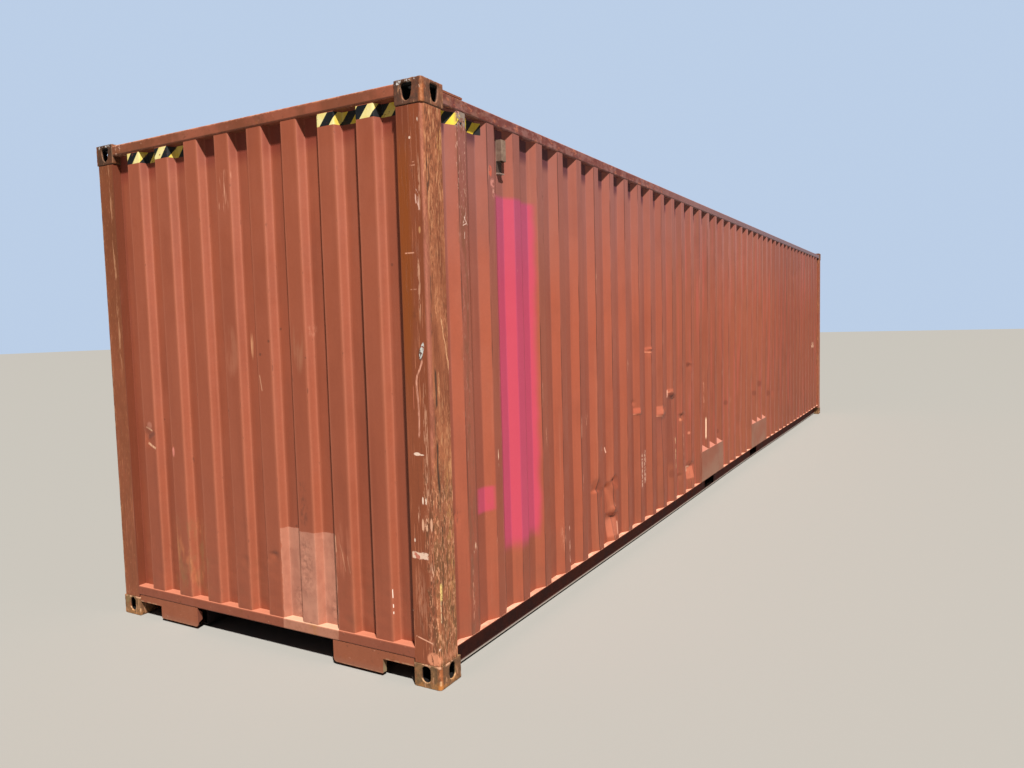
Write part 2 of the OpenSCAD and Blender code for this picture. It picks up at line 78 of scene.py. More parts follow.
class S:
    """a scalar socket with arithmetic"""

    def __init__(self, nb, sock):
        self.nb, self.k = nb, sock

    def op(self, name, *others, clamp=False):
        n = self.nb.t.nodes.new("ShaderNodeMath")
        n.operation, n.use_clamp = name, clamp
        for i, o in enumerate((self,) + others):
            if isinstance(o, S):
                self.nb.t.links.new(o.k, n.inputs[i])
            else:
                n.inputs[i].default_value = float(o)
        return S(self.nb, n.outputs[0])

    def __add__(self, o): return self.op("ADD", o)
    __radd__ = __add__
    def __mul__(self, o): return self.op("MULTIPLY", o)
    __rmul__ = __mul__
    def __sub__(self, o): return self.op("SUBTRACT", o)
    def __rsub__(self, o): return self.op("MULTIPLY", -1.0).op("ADD", o)
    def __truediv__(self, o): return self.op("DIVIDE", o)
    def max(self, o): return self.op("MAXIMUM", o)
    def min(self, o): return self.op("MINIMUM", o)
    def abs(self): return self.op("ABSOLUTE")
    def fract(self): return self.op("FRACT")
    def pow(self, o): return self.op("POWER", o)
    def clamp(self): return self.op("ADD", 0.0, clamp=True)
    def inv(self): return 1.0 - self

    def ss(self, a, b, to0=0.0, to1=1.0):
        n = self.nb.t.nodes.new("ShaderNodeMapRange")
        n.interpolation_type = "SMOOTHSTEP"
        self.nb.t.links.new(self.k, n.inputs[0])
        for i, v in ((1, a), (2, b), (3, to0), (4, to1)):
            n.inputs[i].default_value = v
        return S(self.nb, n.outputs[0])

    def lin(self, a, b, to0=0.0, to1=1.0):
        n = self.nb.t.nodes.new("ShaderNodeMapRange")
        n.clamp = True
        self.nb.t.links.new(self.k, n.inputs[0])
        for i, v in ((1, a), (2, b), (3, to0), (4, to1)):
            n.inputs[i].default_value = v
        return S(self.nb, n.outputs[0])

    def band(self, a, b, soft):
        return self.ss(a - soft, a + soft) * self.ss(b - soft, b + soft, 1.0, 0.0)


class NB:
    """builds one node material"""

    def __init__(self, name):
        self.mat = bpy.data.materials.new(name)
        self.mat.use_nodes = True
        self.t = self.mat.node_tree
        self.bsdf = next(n for n in self.t.nodes if n.type == "BSDF_PRINCIPLED")
        self.co = self.t.nodes.new("ShaderNodeTexCoord").outputs["Object"]
        sep = self.t.nodes.new("ShaderNodeSeparateXYZ")
        self.t.links.new(self.co, sep.inputs[0])
        self.x, self.y, self.z = (S(self, o) for o in sep.outputs)
        self._geo = None

    def up(self):
        """upward part of the surface normal, and the normal's other parts"""
        if self._geo is None:
            g = self.t.nodes.new("ShaderNodeNewGeometry")
            s = self.t.nodes.new("ShaderNodeSeparateXYZ")
            self.t.links.new(g.outputs["Normal"], s.inputs[0])
            self._geo = [S(self, o) for o in s.outputs]
        return self._geo

    def vec(self, x, y, z):
        n = self.t.nodes.new("ShaderNodeCombineXYZ")
        for i, o in enumerate((x, y, z)):
            if isinstance(o, S):
                self.t.links.new(o.k, n.inputs[i])
            else:
                n.inputs[i].default_value = float(o)
        return n.outputs[0]

    def noise(self, scale, detail=3.0, rough=0.55, sx=1.0, sy=1.0, sz=1.0, off=0.0, dist=0.0):
        n = self.t.nodes.new("ShaderNodeTexNoise")
        n.inputs["Scale"].default_value = scale
        n.inputs["Detail"].default_value = min(detail, 4.0 if scale < 40.0 else 3.0 if scale < 118.0 else 2.0)
        n.inputs["Roughness"].default_value = rough
        n.inputs["Distortion"].default_value = dist
        self.t.links.new(self.vec(self.x * sx + off, self.y * sy + off * 0.7, self.z * sz + off * 1.3), n.inputs["Vector"])
        return S(self, n.outputs["Fac"])

    def vor(self, scale, sx=1.0, sy=1.0, sz=1.0, off=0.0, feature="F1"):
        n = self.t.nodes.new("ShaderNodeTexVoronoi")
        n.feature = feature
        n.inputs["Scale"].default_value = scale
        self.t.links.new(self.vec(self.x * sx + off, self.y * sy + off, self.z * sz + off), n.inputs["Vector"])
        return S(self, n.outputs["Distance"])

    def attr(self, name):
        n = self.t.nodes.new("ShaderNodeAttribute")
        n.attribute_name = name
        return S(self, n.outputs["Fac"])

    def col(self, c):
        n = self.t.nodes.new("ShaderNodeRGB")
        n.outputs[0].default_value = c
        return n.outputs[0]

    def mix(self, fac, a, b, mode="MIX"):
        n = self.t.nodes.new("ShaderNodeMix")
        n.data_type, n.blend_type = "RGBA", mode
        n.clamp_factor = True
        if isinstance(fac, S):
            self.t.links.new(fac.k, n.inputs["Factor"])
        else:
            n.inputs["Factor"].default_value = fac
        for key, v in (("A", a), ("B", b)):
            i = next(s for s in n.inputs if s.identifier == key + "_Color")
            if isinstance(v, tuple):
                i.default_value = v
            else:
                self.t.links.new(v, i)
        return next(s for s in n.outputs if s.identifier == "Result_Color")

    def finish(self, color, rough, bump=None, bump_d=0.001, metallic=0.0, spec=0.5):
        b = self.bsdf
        if isinstance(color, tuple):
            b.inputs["Base Color"].default_value = color
        else:
            self.t.links.new(color, b.inputs["Base Color"])
        if isinstance(rough, S):
            self.t.links.new(rough.k, b.inputs["Roughness"])
        else:
            b.inputs["Roughness"].default_value = rough
        if isinstance(metallic, S):
            self.t.links.new(metallic.k, b.inputs["Metallic"])
        else:
            b.inputs["Metallic"].default_value = metallic
        b.inputs["Specular IOR Level"].default_value = spec
        if bump is not None:
            n = self.t.nodes.new("ShaderNodeBump")
            n.inputs["Strength"].default_value = 1.0
            n.inputs["Distance"].default_value = bump_d
            self.t.links.new(bump.k, n.inputs["Height"])
            self.t.links.new(n.outputs[0], b.inputs["Normal"])
        return self.mat


# ------------------------------------------------------------------ materials
SP, SF = 0.278, -5.761          # side pitch, first crest centre
EP = 0.250                      # front pitch


def paint(nb, c, pale, deep, streak=0.4):
    """weathered oxide paint over the colour c: soft patches, upright streaks and grain; returns (colour, grain)"""
    big = nb.noise(0.9, 3, 0.55, off=3.1)
    mid = nb.noise(4.0, 4, 0.6, sz=0.45, off=7.7)
    run = nb.noise(17.0, 3, 0.6, sz=0.035, off=1.9)
    fine = nb.noise(75.0, 3, 0.6)
    c = nb.mix(big.ss(0.35, 0.7) * 0.30, c, pale)
    c = nb.mix(mid.ss(0.45, 0.72) * 0.28, c, deep)
    c = nb.mix(run.ss(0.52, 0.75) * streak, c, pale)
    c = nb.mix(run.ss(0.48, 0.26) * streak * 0.8, c, deep)
    c = nb.mix(fine.ss(0.3, 0.75) * 0.12, c, deep)
    return c, fine


RUST_D, RUST_M, RUST_L = rgb(84, 46, 28), rgb(138, 74, 40), rgb(186, 112, 62)


def rust_mix(nb, off=0.0):
    a = nb.noise(38.0, 5, 0.65, off=off)
    b = nb.noise(11.0, 4, 0.6, off=off + 5)
    c = nb.mix(a.ss(0.35, 0.62), RUST_D, RUST_M)
    return nb.mix(b.ss(0.45, 0.75) * 0.75, c, RUST_L)


def spot(nb, u, w, cu, cw, ru, rw, soft=0.35):
    """soft ellipse in the two coordinates u, w"""
    d = ((u - cu) / ru).pow(2) + ((w - cw) / rw).pow(2)
    return d.ss(1.0 - soft, 1.0 + soft, 1.0, 0.0)


def spots(nb, c, u, w, grain, items, mask=None):
    """rubbed or stained places: (u, w, half width, half height, strength, colour)"""
    for (a, b, ra, rb, s, col) in items:
        k = spot(nb, u, w, a, b, ra, rb, 0.6) * grain
        if mask is not None:
            k = k * mask
        c = nb.mix(k * s, c, col)
    return c


def absdiff(v, c):
    return (v - c).abs()


def stroke(u, w, a, b, half):
    """straight thin mark from a to b in the coordinates u, w"""
    L = math.hypot(b[0] - a[0], b[1] - a[1])
    dx, dw = (b[0] - a[0]) / L, (b[1] - a[1]) / L
    cu, cw = u - (a[0] + b[0]) / 2, w - (a[1] + b[1]) / 2
    along = (cu * dx + cw * dw).abs()
    across = (cw * dx - cu * dw).abs()
    return across.ss(half * 1.5, half * 0.5) * along.ss(L / 2, L / 2 * 0.75)


def mult(nb, c, k):
    return nb.mix(1.0, c, k if not isinstance(k, tuple) else k + (1.0,), "MULTIPLY")


def run2(nb, v, a, b, ka, kb):
    """colour factor ka at a, kb at b"""
    return nb.mix(v.ss(a, b), ka + (1.0,), kb + (1.0,))


PALE, CREAM, DUSK = rgb(212, 146, 118), rgb(232, 186, 156), rgb(104, 58, 42)


def mat_wall_end():
    nb = NB("paint_front_wall")
    u, z = nb.y, nb.z            # along the wall, up
    dep, bend = nb.attr("dep"), nb.attr("bend")
    slope = dep.band(0.06, 0.94, 0.04)
    # slopes take a lighter, more orange paint than the flats: partly dust and fading on the flats, partly painted light
    # that strengthens the slopes' lit contrast
    c = nb.mix(slope, rgb(166, 88, 62), rgb(180, 96, 70))
    c, fine = paint(nb, c, rgb(180, 104, 80), rgb(138, 68, 46), 0.26)
    # lighter line along the folds
    c = nb.mix(bend * 0.30, c, rgb(204, 124, 96))
    # lower edges and recess floors hold more dirt
    rec = dep.ss(0.9, 1.0)
    c = nb.mix(rec * nb.noise(7, 3, 0.6, sz=0.2, off=11).ss(0.35, 0.7) * 0.30, c, rgb(128, 66, 48))
    low = z.ss(0.75, 0.2)
    c = nb.mix(low * nb.noise(6, 4, 0.65, off=17).ss(0.42, 0.68) * 0.30, c, rgb(134, 84, 60))
    c = mult(nb, c, nb.mix(slope, run2(nb, z, 0.3, 2.4, (0.80, 0.75, 0.68), (0.91, 0.88, 0.83)), run2(nb, z, 0.3, 2.4, (0.79, 0.77, 0.69), (0.84, 0.87, 0.87))))
    # painted shadow of the top rail over the recess tops, at half strength on the slopes
    c = mult(nb, c, nb.mix(z.ss(2.63, 2.72) * rec.max(slope * 0.5), (1.0, 1.0, 1.0, 1.0), (0.76, 0.58, 0.64, 1.0)))
    # brown border strip beside each post
    c = nb.mix(u.abs().ss(1.035, 1.050) * 0.35, c, rgb(126, 62, 46))
    grain = nb.noise(44, 4, 0.7, sz=0.5, off=9).ss(0.42, 0.60)
    lines = nb.noise(95, 2, 0.5, sz=0.07, off=13).ss(0.55, 0.65)
    # salmon repaint, thin enough for the folds' own tones to show
    wav = nb.noise(16, 3, 0.6, off=4).ss(0.0, 1.0, -0.006, 0.006)
    patch = (u + wav).band(-0.574, -0.178, 0.003) * (z + wav).ss(0.690, 0.684)
    mot = nb.noise(13, 4, 0.65, sz=0.6, off=9)
    c = nb.mix(patch * slope.ss(0.0, 1.0, 0.68, 0.46), c, nb.mix(mot.ss(0.40, 0.66) * 0.55, rgb(204, 144, 120), rgb(164, 108, 90)))
    smear = spot(nb, u, z, -0.365, 0.50, 0.045, 0.17, 0.7) + spot(nb, u, z, -0.27, 0.29, 0.05, 0.10, 0.7) + spot(nb, u, z, -0.53, 0.27, 0.05, 0.06, 0.7)
    c = nb.mix(smear * nb.noise(34, 4, 0.7, off=14).ss(0.46, 0.60) * 0.42, c, rgb(128, 78, 62))
    # greenish brown stain with drawn-out upright patches
    st = (u + nb.noise(9, 3, 0.6, off=2).ss(0, 1, -0.09, 0.09)).band(0.44, 0.74, 0.05) * (z + nb.noise(7, 3, 0.6, off=6).ss(0, 1, -0.1, 0.1)).band(0.22, 0.66, 0.07)
    c = nb.mix(st * nb.noise(16, 4, 0.65, sz=0.3, off=21).ss(0.42, 0.64) * 0.42, c, rgb(140, 104, 66))
    c = nb.mix(st * nb.noise(18, 4, 0.65, sz=0.3, off=25).ss(0.54, 0.70) * 0.40, c, rgb(198, 122, 78))
    # pale rubbed places
    c = spots(nb, c, u, z, grain, ((-0.45, 1.75, 0.02, 0.03, 0.3, PALE),
                                   (0.47, 1.9, 0.03, 0.03, 0.5, DUSK), (-0.36, 0.80, 0.03, 0.08, 0.5, DUSK), (-0.36, 0.93, 0.03, 0.03, 0.4, DUSK),
                                   (-0.42, 1.61, 0.008, 0.008, 0.9, DUSK)))
    streaky = nb.noise(26, 4, 0.7, sz=0.10, off=93).ss(0.40, 0.62)
    c = spots(nb, c, u, z, streaky, ((0.13, 1.65, 0.055, 0.13, 0.30, rgb(190, 126, 98)), (-0.375, 1.67, 0.034, 0.13, 0.40, rgb(182, 124, 94)),
                                     (-0.62, 0.62, 0.05, 0.14, 0.35, rgb(196, 120, 92)), (0.012, 1.68, 0.010, 0.075, 0.9, rgb(226, 164, 122)),
                                     (0.664, 1.056, 0.010, 0.028, 1.1, rgb(214, 128, 112))))
    # a scuffed dent: dark smears between pale strokes
    smr = ((u * 0.42 + z * 0.91) * 95.0).op("SINE").ss(-0.2, 0.9) * spot(nb, u + (z - 1.13) * 0.35, z, 0.864, 1.132, 0.034, 0.045, 0.5)
    c = nb.mix(smr * 0.55, c, rgb(112, 64, 52))
    c = nb.mix(spot(nb, u, z, 0.872, 1.205, 0.022, 0.022, 0.7) * 0.4, c, rgb(206, 140, 118))
    for (a_, b_, h_, k_) in (((0.910, 1.196), (0.846, 1.172), 0.0050, 0.8), ((0.901, 1.100), (0.822, 1.066), 0.0065, 0.95), ((-0.082, 1.524), (-0.098, 1.427), 0.0034, 0.75),
                             ((-0.605, 0.66), (-0.640, 0.50), 0.0026, 0.32), ((-0.650, 0.60), (-0.668, 0.50), 0.0022, 0.28), ((-0.575, 0.70), (-0.579, 0.60), 0.0030, 0.6)):
        c = nb.mix(stroke(u, z, a_, b_, h_) * streaky.ss(0.0, 1.0, 0.55, 1.0) * k_, c, rgb(232, 178, 142))
    for (a_, b_) in (((-0.9320, 0.462), (-0.9324, 0.412)), ((-0.9326, 0.384), (-0.9328, 0.364)), ((-0.9330, 0.346), (-0.9331, 0.332))):
        c = nb.mix(stroke(u, z, a_, b_, 0.0010) * streaky.ss(0.1, 0.5, 0.6, 1.0), c, rgb(246, 222, 204))
    # thin upright and slanting scratches
    c = spots(nb, c, u, z, lines, ((0.13, 2.50, 0.045, 0.10, 0.9, PALE), (0.1, 2.60, 0.035, 0.03, 0.7, PALE), (0.19, 2.44, 0.03, 0.06, 0.7, PALE)))
    # small rust spots
    sp = nb.vor(7.0, off=3).ss(0.075, 0.045) * nb.noise(2.2, 2, 0.5, off=31).ss(0.52, 0.62)
    c = nb.mix(sp * 0.7, c, DUSK)
    # chips on the bends
    ch = bend * nb.noise(42, 4, 0.7, sz=0.35, off=8).ss(0.63, 0.72)
    c = nb.mix(ch * 0.6, c, rgb(116, 64, 46))
    for (a_, b_) in (((-1.0225, 0.356), (-1.0378, 0.349)), ((-1.0378, 0.352), (-1.0457, 0.331))):
        c = nb.mix(stroke(u, z, a_, b_, 0.0034) * 0.8, c, rgb(240, 206, 186))
    # hazard stripes at both top corners, following the folds
    s = nb.attr("arc")
    dz = (z - 2.755) * 0.85
    sf = ((s + dz) / 0.125).fract()
    black = sf.band(0.0, 0.5, 0.01) + sf.ss(0.99, 1.0)
    zm = z.band(2.755, 2.8175, 0.0012)
    um = u.band(0.4375, 0.948, 0.0015) + u.band(-1.045, -0.5375, 0.0015)
    wear = nb.noise(34, 4, 0.7, off=41).ss(0.31, 0.37)
    # the tape is paler in patches and, as a painted reflection, on the crests
    tape = nb.mix(black, nb.mix((nb.noise(20, 3, 0.6).ss(0.3, 0.7) * 0.35 + dep.ss(0.20, 0.02) * 0.40).clamp(), rgb(232, 196, 48), rgb(250, 242, 186)), rgb(22, 26, 30))
    tm = zm * um * wear
    c = nb.mix(tm, c, tape)
    dust = nb.up()[2].ss(0.5, 0.9)
    c = nb.mix(dust * 0.5, c, rgb(196, 150, 128))
    rough = nb.noise(8, 3, 0.6, off=5).ss(0.2, 0.8, 0.48, 0.66) - tm * 0.1
    bump = fine * 0.08 + nb.noise(16, 3, 0.5, off=6) * 0.5 + (smear + patch * 0.35) * mot * 0.7 - ch * 0.4 + tm * 0.15
    return nb.finish(c, rough, bump, 0.0012, spec=0.4)


def mat_wall_side():
    nb = NB("paint_left_wall")
    x, z = nb.x, nb.z
    dep, bend = nb.attr("dep"), nb.attr("bend")
    slope = dep.band(0.06, 0.94, 0.04)
    # slopes take a lighter, more orange paint than the flats: partly dust and fading on the flats, partly painted light
    # that strengthens the slopes' lit contrast
    c = nb.mix(slope, rgb(158, 90, 70), rgb(178, 92, 66))
    # sheets and single folds differ a little
    fold_i = ((x - SF) / SP + 0.5).op("FLOOR")
    tone = (fold_i * 0.381).fract()
    c = nb.mix(tone * 0.22 * slope.inv(), c, rgb(136, 72, 58))
    sheet = ((x + 5.9) / 1.112).op("FLOOR")
    c = nb.mix((sheet * 0.37).fract() * 0.15, c, rgb(168, 92, 76))
    c, fine = paint(nb, c, rgb(178, 104, 82), rgb(134, 68, 50), 0.26)
    rec = dep.ss(0.9, 1.0)
    c = nb.mix(rec * nb.noise(5, 3, 0.6, sz=0.1, off=12).ss(0.35, 0.7) * 0.25, c, rgb(128, 66, 54))
    # greyed top, dusty foot, duller towards the far end
    c = nb.mix(z.ss(1.7, 2.85) * nb.noise(6, 3, 0.6, sz=0.2, off=15).ss(0.1, 0.8, 0.25, 0.55), c, rgb(150, 108, 106))
    c = nb.mix(z.ss(0.7, 0.15) * nb.noise(4, 3, 0.6, off=16).ss(0.3, 0.75) * 0.30, c, rgb(138, 90, 68))
    c = nb.mix(x.ss(-3.0, 3.5) * 0.22, c, rgb(118, 66, 54))
    run = nb.noise(26, 3, 0.6, sz=0.03, off=23)
    c = nb.mix(run.ss(0.60, 0.75) * 0.25, c, rgb(196, 124, 102))
    c = nb.mix(run.ss(0.36, 0.25) * 0.25, c, rgb(116, 60, 48))
    f1, f2 = x.ss(-5.0, -3.8), x.ss(-3.0, -1.6)
    lowc = nb.mix(f2, nb.mix(f1, (0.84, 0.67, 0.53, 1.0), (0.75, 0.56, 0.42, 1.0)), (0.92, 0.73, 0.56, 1.0))
    highc = nb.mix(f2, nb.mix(f1, (0.93, 0.89, 0.91, 1.0), (1.01, 0.97, 1.00, 1.0)), (1.12, 1.15, 1.20, 1.0))
    flats = nb.mix(z.ss(0.3, 2.4) * f2.inv() + z.ss(1.3, 2.7) * f2, lowc, highc)
    slopes = nb.mix(x.ss(-4.2, -1.4), nb.mix(z.ss(0.3, 2.2), nb.mix(f1, (0.82, 0.78, 0.69, 1.0), (0.77, 0.73, 0.61, 1.0)), (0.87, 0.83, 0.79, 1.0)), run2(nb, z, 0.3, 2.4, (0.59, 0.60, 0.53), (0.69, 0.67, 0.65)))
    c = mult(nb, c, nb.mix(slope, flats, slopes))
    c = mult(nb, c, run2(nb, x, -1.2, -0.2, (1.0, 1.0, 1.0), (1.14, 1.15, 1.12)))
    c = mult(nb, c, run2(nb, x, 1.0, 3.0, (1.0, 1.0, 1.0), (0.86, 0.85, 0.87)))
    # painted shadow of the top rail in the recess tops
    c = mult(nb, c, nb.mix(z.ss(2.650, 2.720) * rec, (1.0, 1.0, 1.0, 1.0), (0.42, 0.36, 0.52, 1.0)))
    # downward-facing faces of the dents get a warmer, lighter paint: painted warm bounce light
    c = nb.mix(nb.up()[2].ss(-0.18, -0.55) * 0.5, c, rgb(230, 112, 66))
    # far folds: fine upright streaks of darker and greener tone
    fst = nb.noise(46, 2, 0.5, sz=0.018, off=87)
    c = nb.mix(fst.ss(0.54, 0.66) * x.ss(-3.0, -2.0) * 0.35, c, rgb(146, 86, 58))
    c = nb.mix(fst.ss(0.44, 0.34) * x.ss(-3.0, -2.0) * 0.30, c, rgb(190, 88, 78))
    # painted shade on the slopes that the big dents turn away from the light
    dent_shade = spot(nb, x, z, SF + SP * 11 - 0.075, 0.90, 0.05, 0.14, 0.4) + spot(nb, x, z, SF + SP * 12 - 0.075, 0.94, 0.05, 0.19, 0.4)
    c = nb.mix(dent_shade * slope * 0.45, c, rgb(138, 74, 58))
    # a thin dark line of painted shade where each slope meets its crest, with pale scratches beside it
    along = nb.noise(3.0, 3, 0.6, sx=4.0, sz=0.5, off=71)
    dl = (((x - (SF - 0.036 - SP * 0.5)) / SP).fract() - 0.5) * SP
    out = dep.ss(0.25, 0.02)
    line = dl.abs().ss(0.0058, 0.0020) * out * along.ss(0.40, 0.56)
    c = nb.mix(line * 0.75, c, rgb(84, 44, 34))
    rub = (dl - 0.009).abs().ss(0.008, 0.003) * out * nb.noise(44, 4, 0.7, sz=0.10, off=73).ss(0.56, 0.66) * along.ss(0.46, 0.58)
    c = nb.mix(rub * 0.75, c, rgb(208, 146, 122))
    # worn and rusted fold edges, heavier next to the post
    worn = nb.noise(40, 4, 0.7, sz=0.22, off=8)
    near = x.ss(-5.55, -5.9) * 0.55 + x.ss(-4.6, -5.7) * 0.35
    ch = (bend * worn.ss(0.68, 0.74) * (near + 0.45)).clamp()
    c = nb.mix(ch * 0.7, c, nb.mix(fine.ss(0.4, 0.6), rgb(116, 62, 44), rgb(198, 132, 108)))
    grain = nb.noise(70, 4, 0.7, sz=0.22, off=5).ss(0.50, 0.60)
    # the first crest: scraped to rust with pale scratches
    c0 = absdiff(x, SF).ss(0.058, 0.030)
    k = c0 * nb.noise(26, 4, 0.7, sz=0.16, off=33).ss(0.48, 0.62)
    c = nb.mix(k * 0.70, c, rgb(126, 76, 54))
    k2 = c0 * nb.noise(105, 3, 0.65, sz=0.26, off=35).ss(0.58, 0.66) * (z.ss(2.1, 2.75) + 0.15).clamp() * z.ss(1.0, 1.4, 0.35, 1.0) * 0.85
    c = nb.mix(k2, c, rgb(222, 172, 152))
    c = nb.mix(c0 * z.ss(2.715, 2.735) * nb.noise(40, 4, 0.7, off=37).ss(0.40, 0.55) * 0.8, c, rgb(150, 140, 128))
    # scraped places and chips
    c = spots(nb, c, x, z, grain, ((-5.470, 2.44, 0.010, 0.03, 0.8, rgb(226, 168, 150)),
                                   (-4.87, 2.515, 0.014, 0.016, 1.2, CREAM), (-4.865, 2.262, 0.014, 0.016, 1.2, CREAM),
                                   (-4.575, 2.02, 0.010, 0.012, 0.9, CREAM), (-5.22, 2.06, 0.010, 0.012, 0.9, CREAM),
                                   (-4.70, 0.42, 0.02, 0.10, 0.4, PALE), (-4.24, 1.10, 0.02, 0.06, 0.4, PALE), (-3.55, 1.45, 0.012, 0.10, 0.5, PALE),
                                   (5.3, 1.275, 0.05, 0.05, 0.8, CREAM), (-5.77, 0.35, 0.012, 0.16, 0.6, PALE), (-5.743, 0.61, 0.016, 0.03, 0.8, CREAM),
                                   (-5.44, 1.5, 0.012, 0.20, 0.35, PALE), (-5.488, 1.03, 0.004, 0.055, 1.3, CREAM), (-4.915, 1.07, 0.010, 0.07, 0.5, PALE),
                                   (-0.36, 0.82, 0.08, 0.12, 0.4, PALE), (-1.72, 0.95, 0.014, 0.12, 0.5, PALE),
                                   (-1.40, 1.05, 0.010, 0.20, 0.5, PALE), (-2.16, 0.62, 0.010, 0.16, 0.5, PALE), (-4.05, 0.86, 0.014, 0.02, 1.0, CREAM),
                                   (-5.868, 0.80, 0.03, 0.04, 0.6, DUSK), (-0.63, 0.95, 0.02, 0.02, 0.6, DUSK), (-0.97, 0.70, 0.02, 0.02, 0.6, DUSK)))
    # scuffs: red ones above, pink ones below, on the second crest
    scf = nb.noise(52, 3, 0.65, off=89).ss(0.42, 0.54)
    c = spots(nb, c, x, z, scf, ((-5.492, 2.560, 0.015, 0.030, 0.9, rgb(206, 98, 74)), (-5.474, 2.500, 0.020, 0.024, 0.8, rgb(214, 140, 126)),
                                 (-5.462, 2.445, 0.016, 0.022, 0.8, rgb(216, 144, 130))))
    # crossed scratches on the first crest
    dots = scf
    for (cx, cz, l, w_, t_) in ((-5.752, 2.290, 0.034, 0.0024, 66), (-5.742, 2.275, 0.030, 0.0022, -52), (-5.752, 2.258, 0.022, 0.0020, 20), (-5.756, 2.205, 0.022, 0.0018, 84)):
        a_ = math.radians(t_)
        uu = (x - cx) * math.cos(a_) + (z - cz) * math.sin(a_)
        vv = (z - cz) * math.cos(a_) - (x - cx) * math.sin(a_)
        c = nb.mix(vv.abs().ss(w_ * 1.6, w_ * 0.6) * uu.abs().ss(l, l * 0.7) * dots.ss(0, 1, 0.30, 0.9), c, rgb(236, 198, 182))
    # a dotted column of chips
    two = absdiff(x, -3.268).ss(0.014, 0.007) + absdiff(x, -3.112).ss(0.034, 0.018) * 0.9
    c = nb.mix(two * z.band(0.45, 0.71, 0.01) * scf.ss(0.2, 0.8) * 0.6, c, rgb(236, 190, 166))
    # painted highlights on the dents' upturned faces, lips and one lit edge, and painted shade in the dark strips
    # beside them
    lbm = lambda i: SF + SP * i - 0.036
    for (i_, lip_, up_h, k_, col_) in ((9, 1.033, 0.050, 0.30, rgb(222, 112, 84)), (11, 0.955, 0.085, 0.42, rgb(226, 124, 92)), (12, 1.134, 0.030, 0.30, rgb(222, 120, 90)), (10, 1.506, 0.040, 0.32, rgb(222, 116, 86))):
        face_ = absdiff(x, lbm(i_) - 0.034).ss(0.042, 0.034) * z.band(lip_, lip_ + up_h, 0.008)
        c = nb.mix(face_ * k_, c, col_)
        c = nb.mix(stroke(x, z, (lbm(i_) - 0.078, lip_ + 0.003), (lbm(i_) + 0.012, lip_ - 0.003), 0.0045) * (k_ + 0.15), c, rgb(232, 150, 114))
    c = nb.mix(stroke(x, z, (lbm(12) - 0.067, 1.160), (lbm(12) - 0.067, 1.082), 0.0055) * 0.8, c, rgb(240, 180, 156))
    lngv = nb.noise(50, 3, 0.6, sz=0.3, off=3)
    for (mx_, mz_, rx_, rz_, mk_) in ((-2.478, 1.112, 0.034, 0.026, 0.75), (-1.952, 1.345, 0.022, 0.024, 0.55), (-0.554, 0.850, 0.034, 0.026, 0.50), (-0.857, 0.575, 0.026, 0.022, 0.45),
                                      (0.841, 0.831, 0.045, 0.030, 0.50), (1.118, 0.929, 0.050, 0.036, 0.50), (1.662, 0.758, 0.050, 0.036, 0.50), (-2.481, 0.411, 0.034, 0.036, 0.40)):
        c = nb.mix(spot(nb, x, z, mx_, mz_, rx_, rz_, 0.6) * mk_, c, rgb(104, 48, 34))
    # painted highlight on the lit face of the low dent on slope 14 and on its upper edges
    c = nb.mix((x + (z - 0.32) * 0.2).band(-1.978, -1.852, 0.006) * z.band(0.265, 0.385, 0.010) * 0.42, c, rgb(228, 128, 96))
    c = nb.mix(stroke(x, z, (-1.972, 0.392), (-1.966, 0.335), 0.0075) * 0.8, c, rgb(242, 196, 164))
    c = nb.mix(stroke(x, z, (-1.965, 0.388), (-1.900, 0.378), 0.0060) * 0.5, c, rgb(242, 196, 164))
    c = nb.mix(spot(nb, x, z, -1.941, 0.702, 0.016, 0.014, 0.6) * 0.5, c, rgb(228, 140, 110))
    c = nb.mix(spot(nb, x, z, -2.205, 0.858, 0.022, 0.014, 0.6) * 0.4, c, rgb(228, 140, 104))
    c = nb.mix(absdiff(x, -2.392).ss(0.010, 0.004) * z.band(0.45, 0.72, 0.015) * lngv.ss(0.42, 0.56) * 0.8, c, rgb(238, 196, 152))
    # painted shade on the pushed-in slopes below two of the dents
    c = nb.mix(absdiff(x, -2.495).ss(0.042, 0.030) * z.band(0.50, 1.085, 0.03) * 0.68, c, rgb(120, 60, 44))
    c = nb.mix(absdiff(x, -2.773).ss(0.042, 0.030) * z.band(0.66, 0.950, 0.03) * 0.35, c, rgb(132, 70, 56))
    c = nb.mix(absdiff(x, -4.618).ss(0.0070, 0.0030) * z.band(0.22, 0.456, 0.01) * lngv.ss(0.46, 0.56) * 0.9, c, rgb(232, 170, 146))
    c = nb.mix(stroke(x, z, (-3.944, 0.866), (-3.918, 0.818), 0.0065), c, rgb(238, 180, 156))
    # painted highlight on the pinker bulge under the hooked dent and along its edge
    c = nb.mix((x + (z - 0.27) * 0.1).band(-3.915, -3.800, 0.008) * z.band(0.200, 0.330, 0.014) * 0.28, c, rgb(226, 136, 106))
    c = nb.mix(stroke(x, z, (-3.795, 0.305), (-3.799, 0.195), 0.0050) * 0.6, c, rgb(236, 170, 142))
    # long pale upright scratch
    k = absdiff(x, -1.372).ss(0.010, 0.006) * z.band(0.575, 0.775, 0.02) * lngv.ss(0.25, 0.42)
    c = nb.mix(k * 0.95, c, rgb(240, 196, 164))
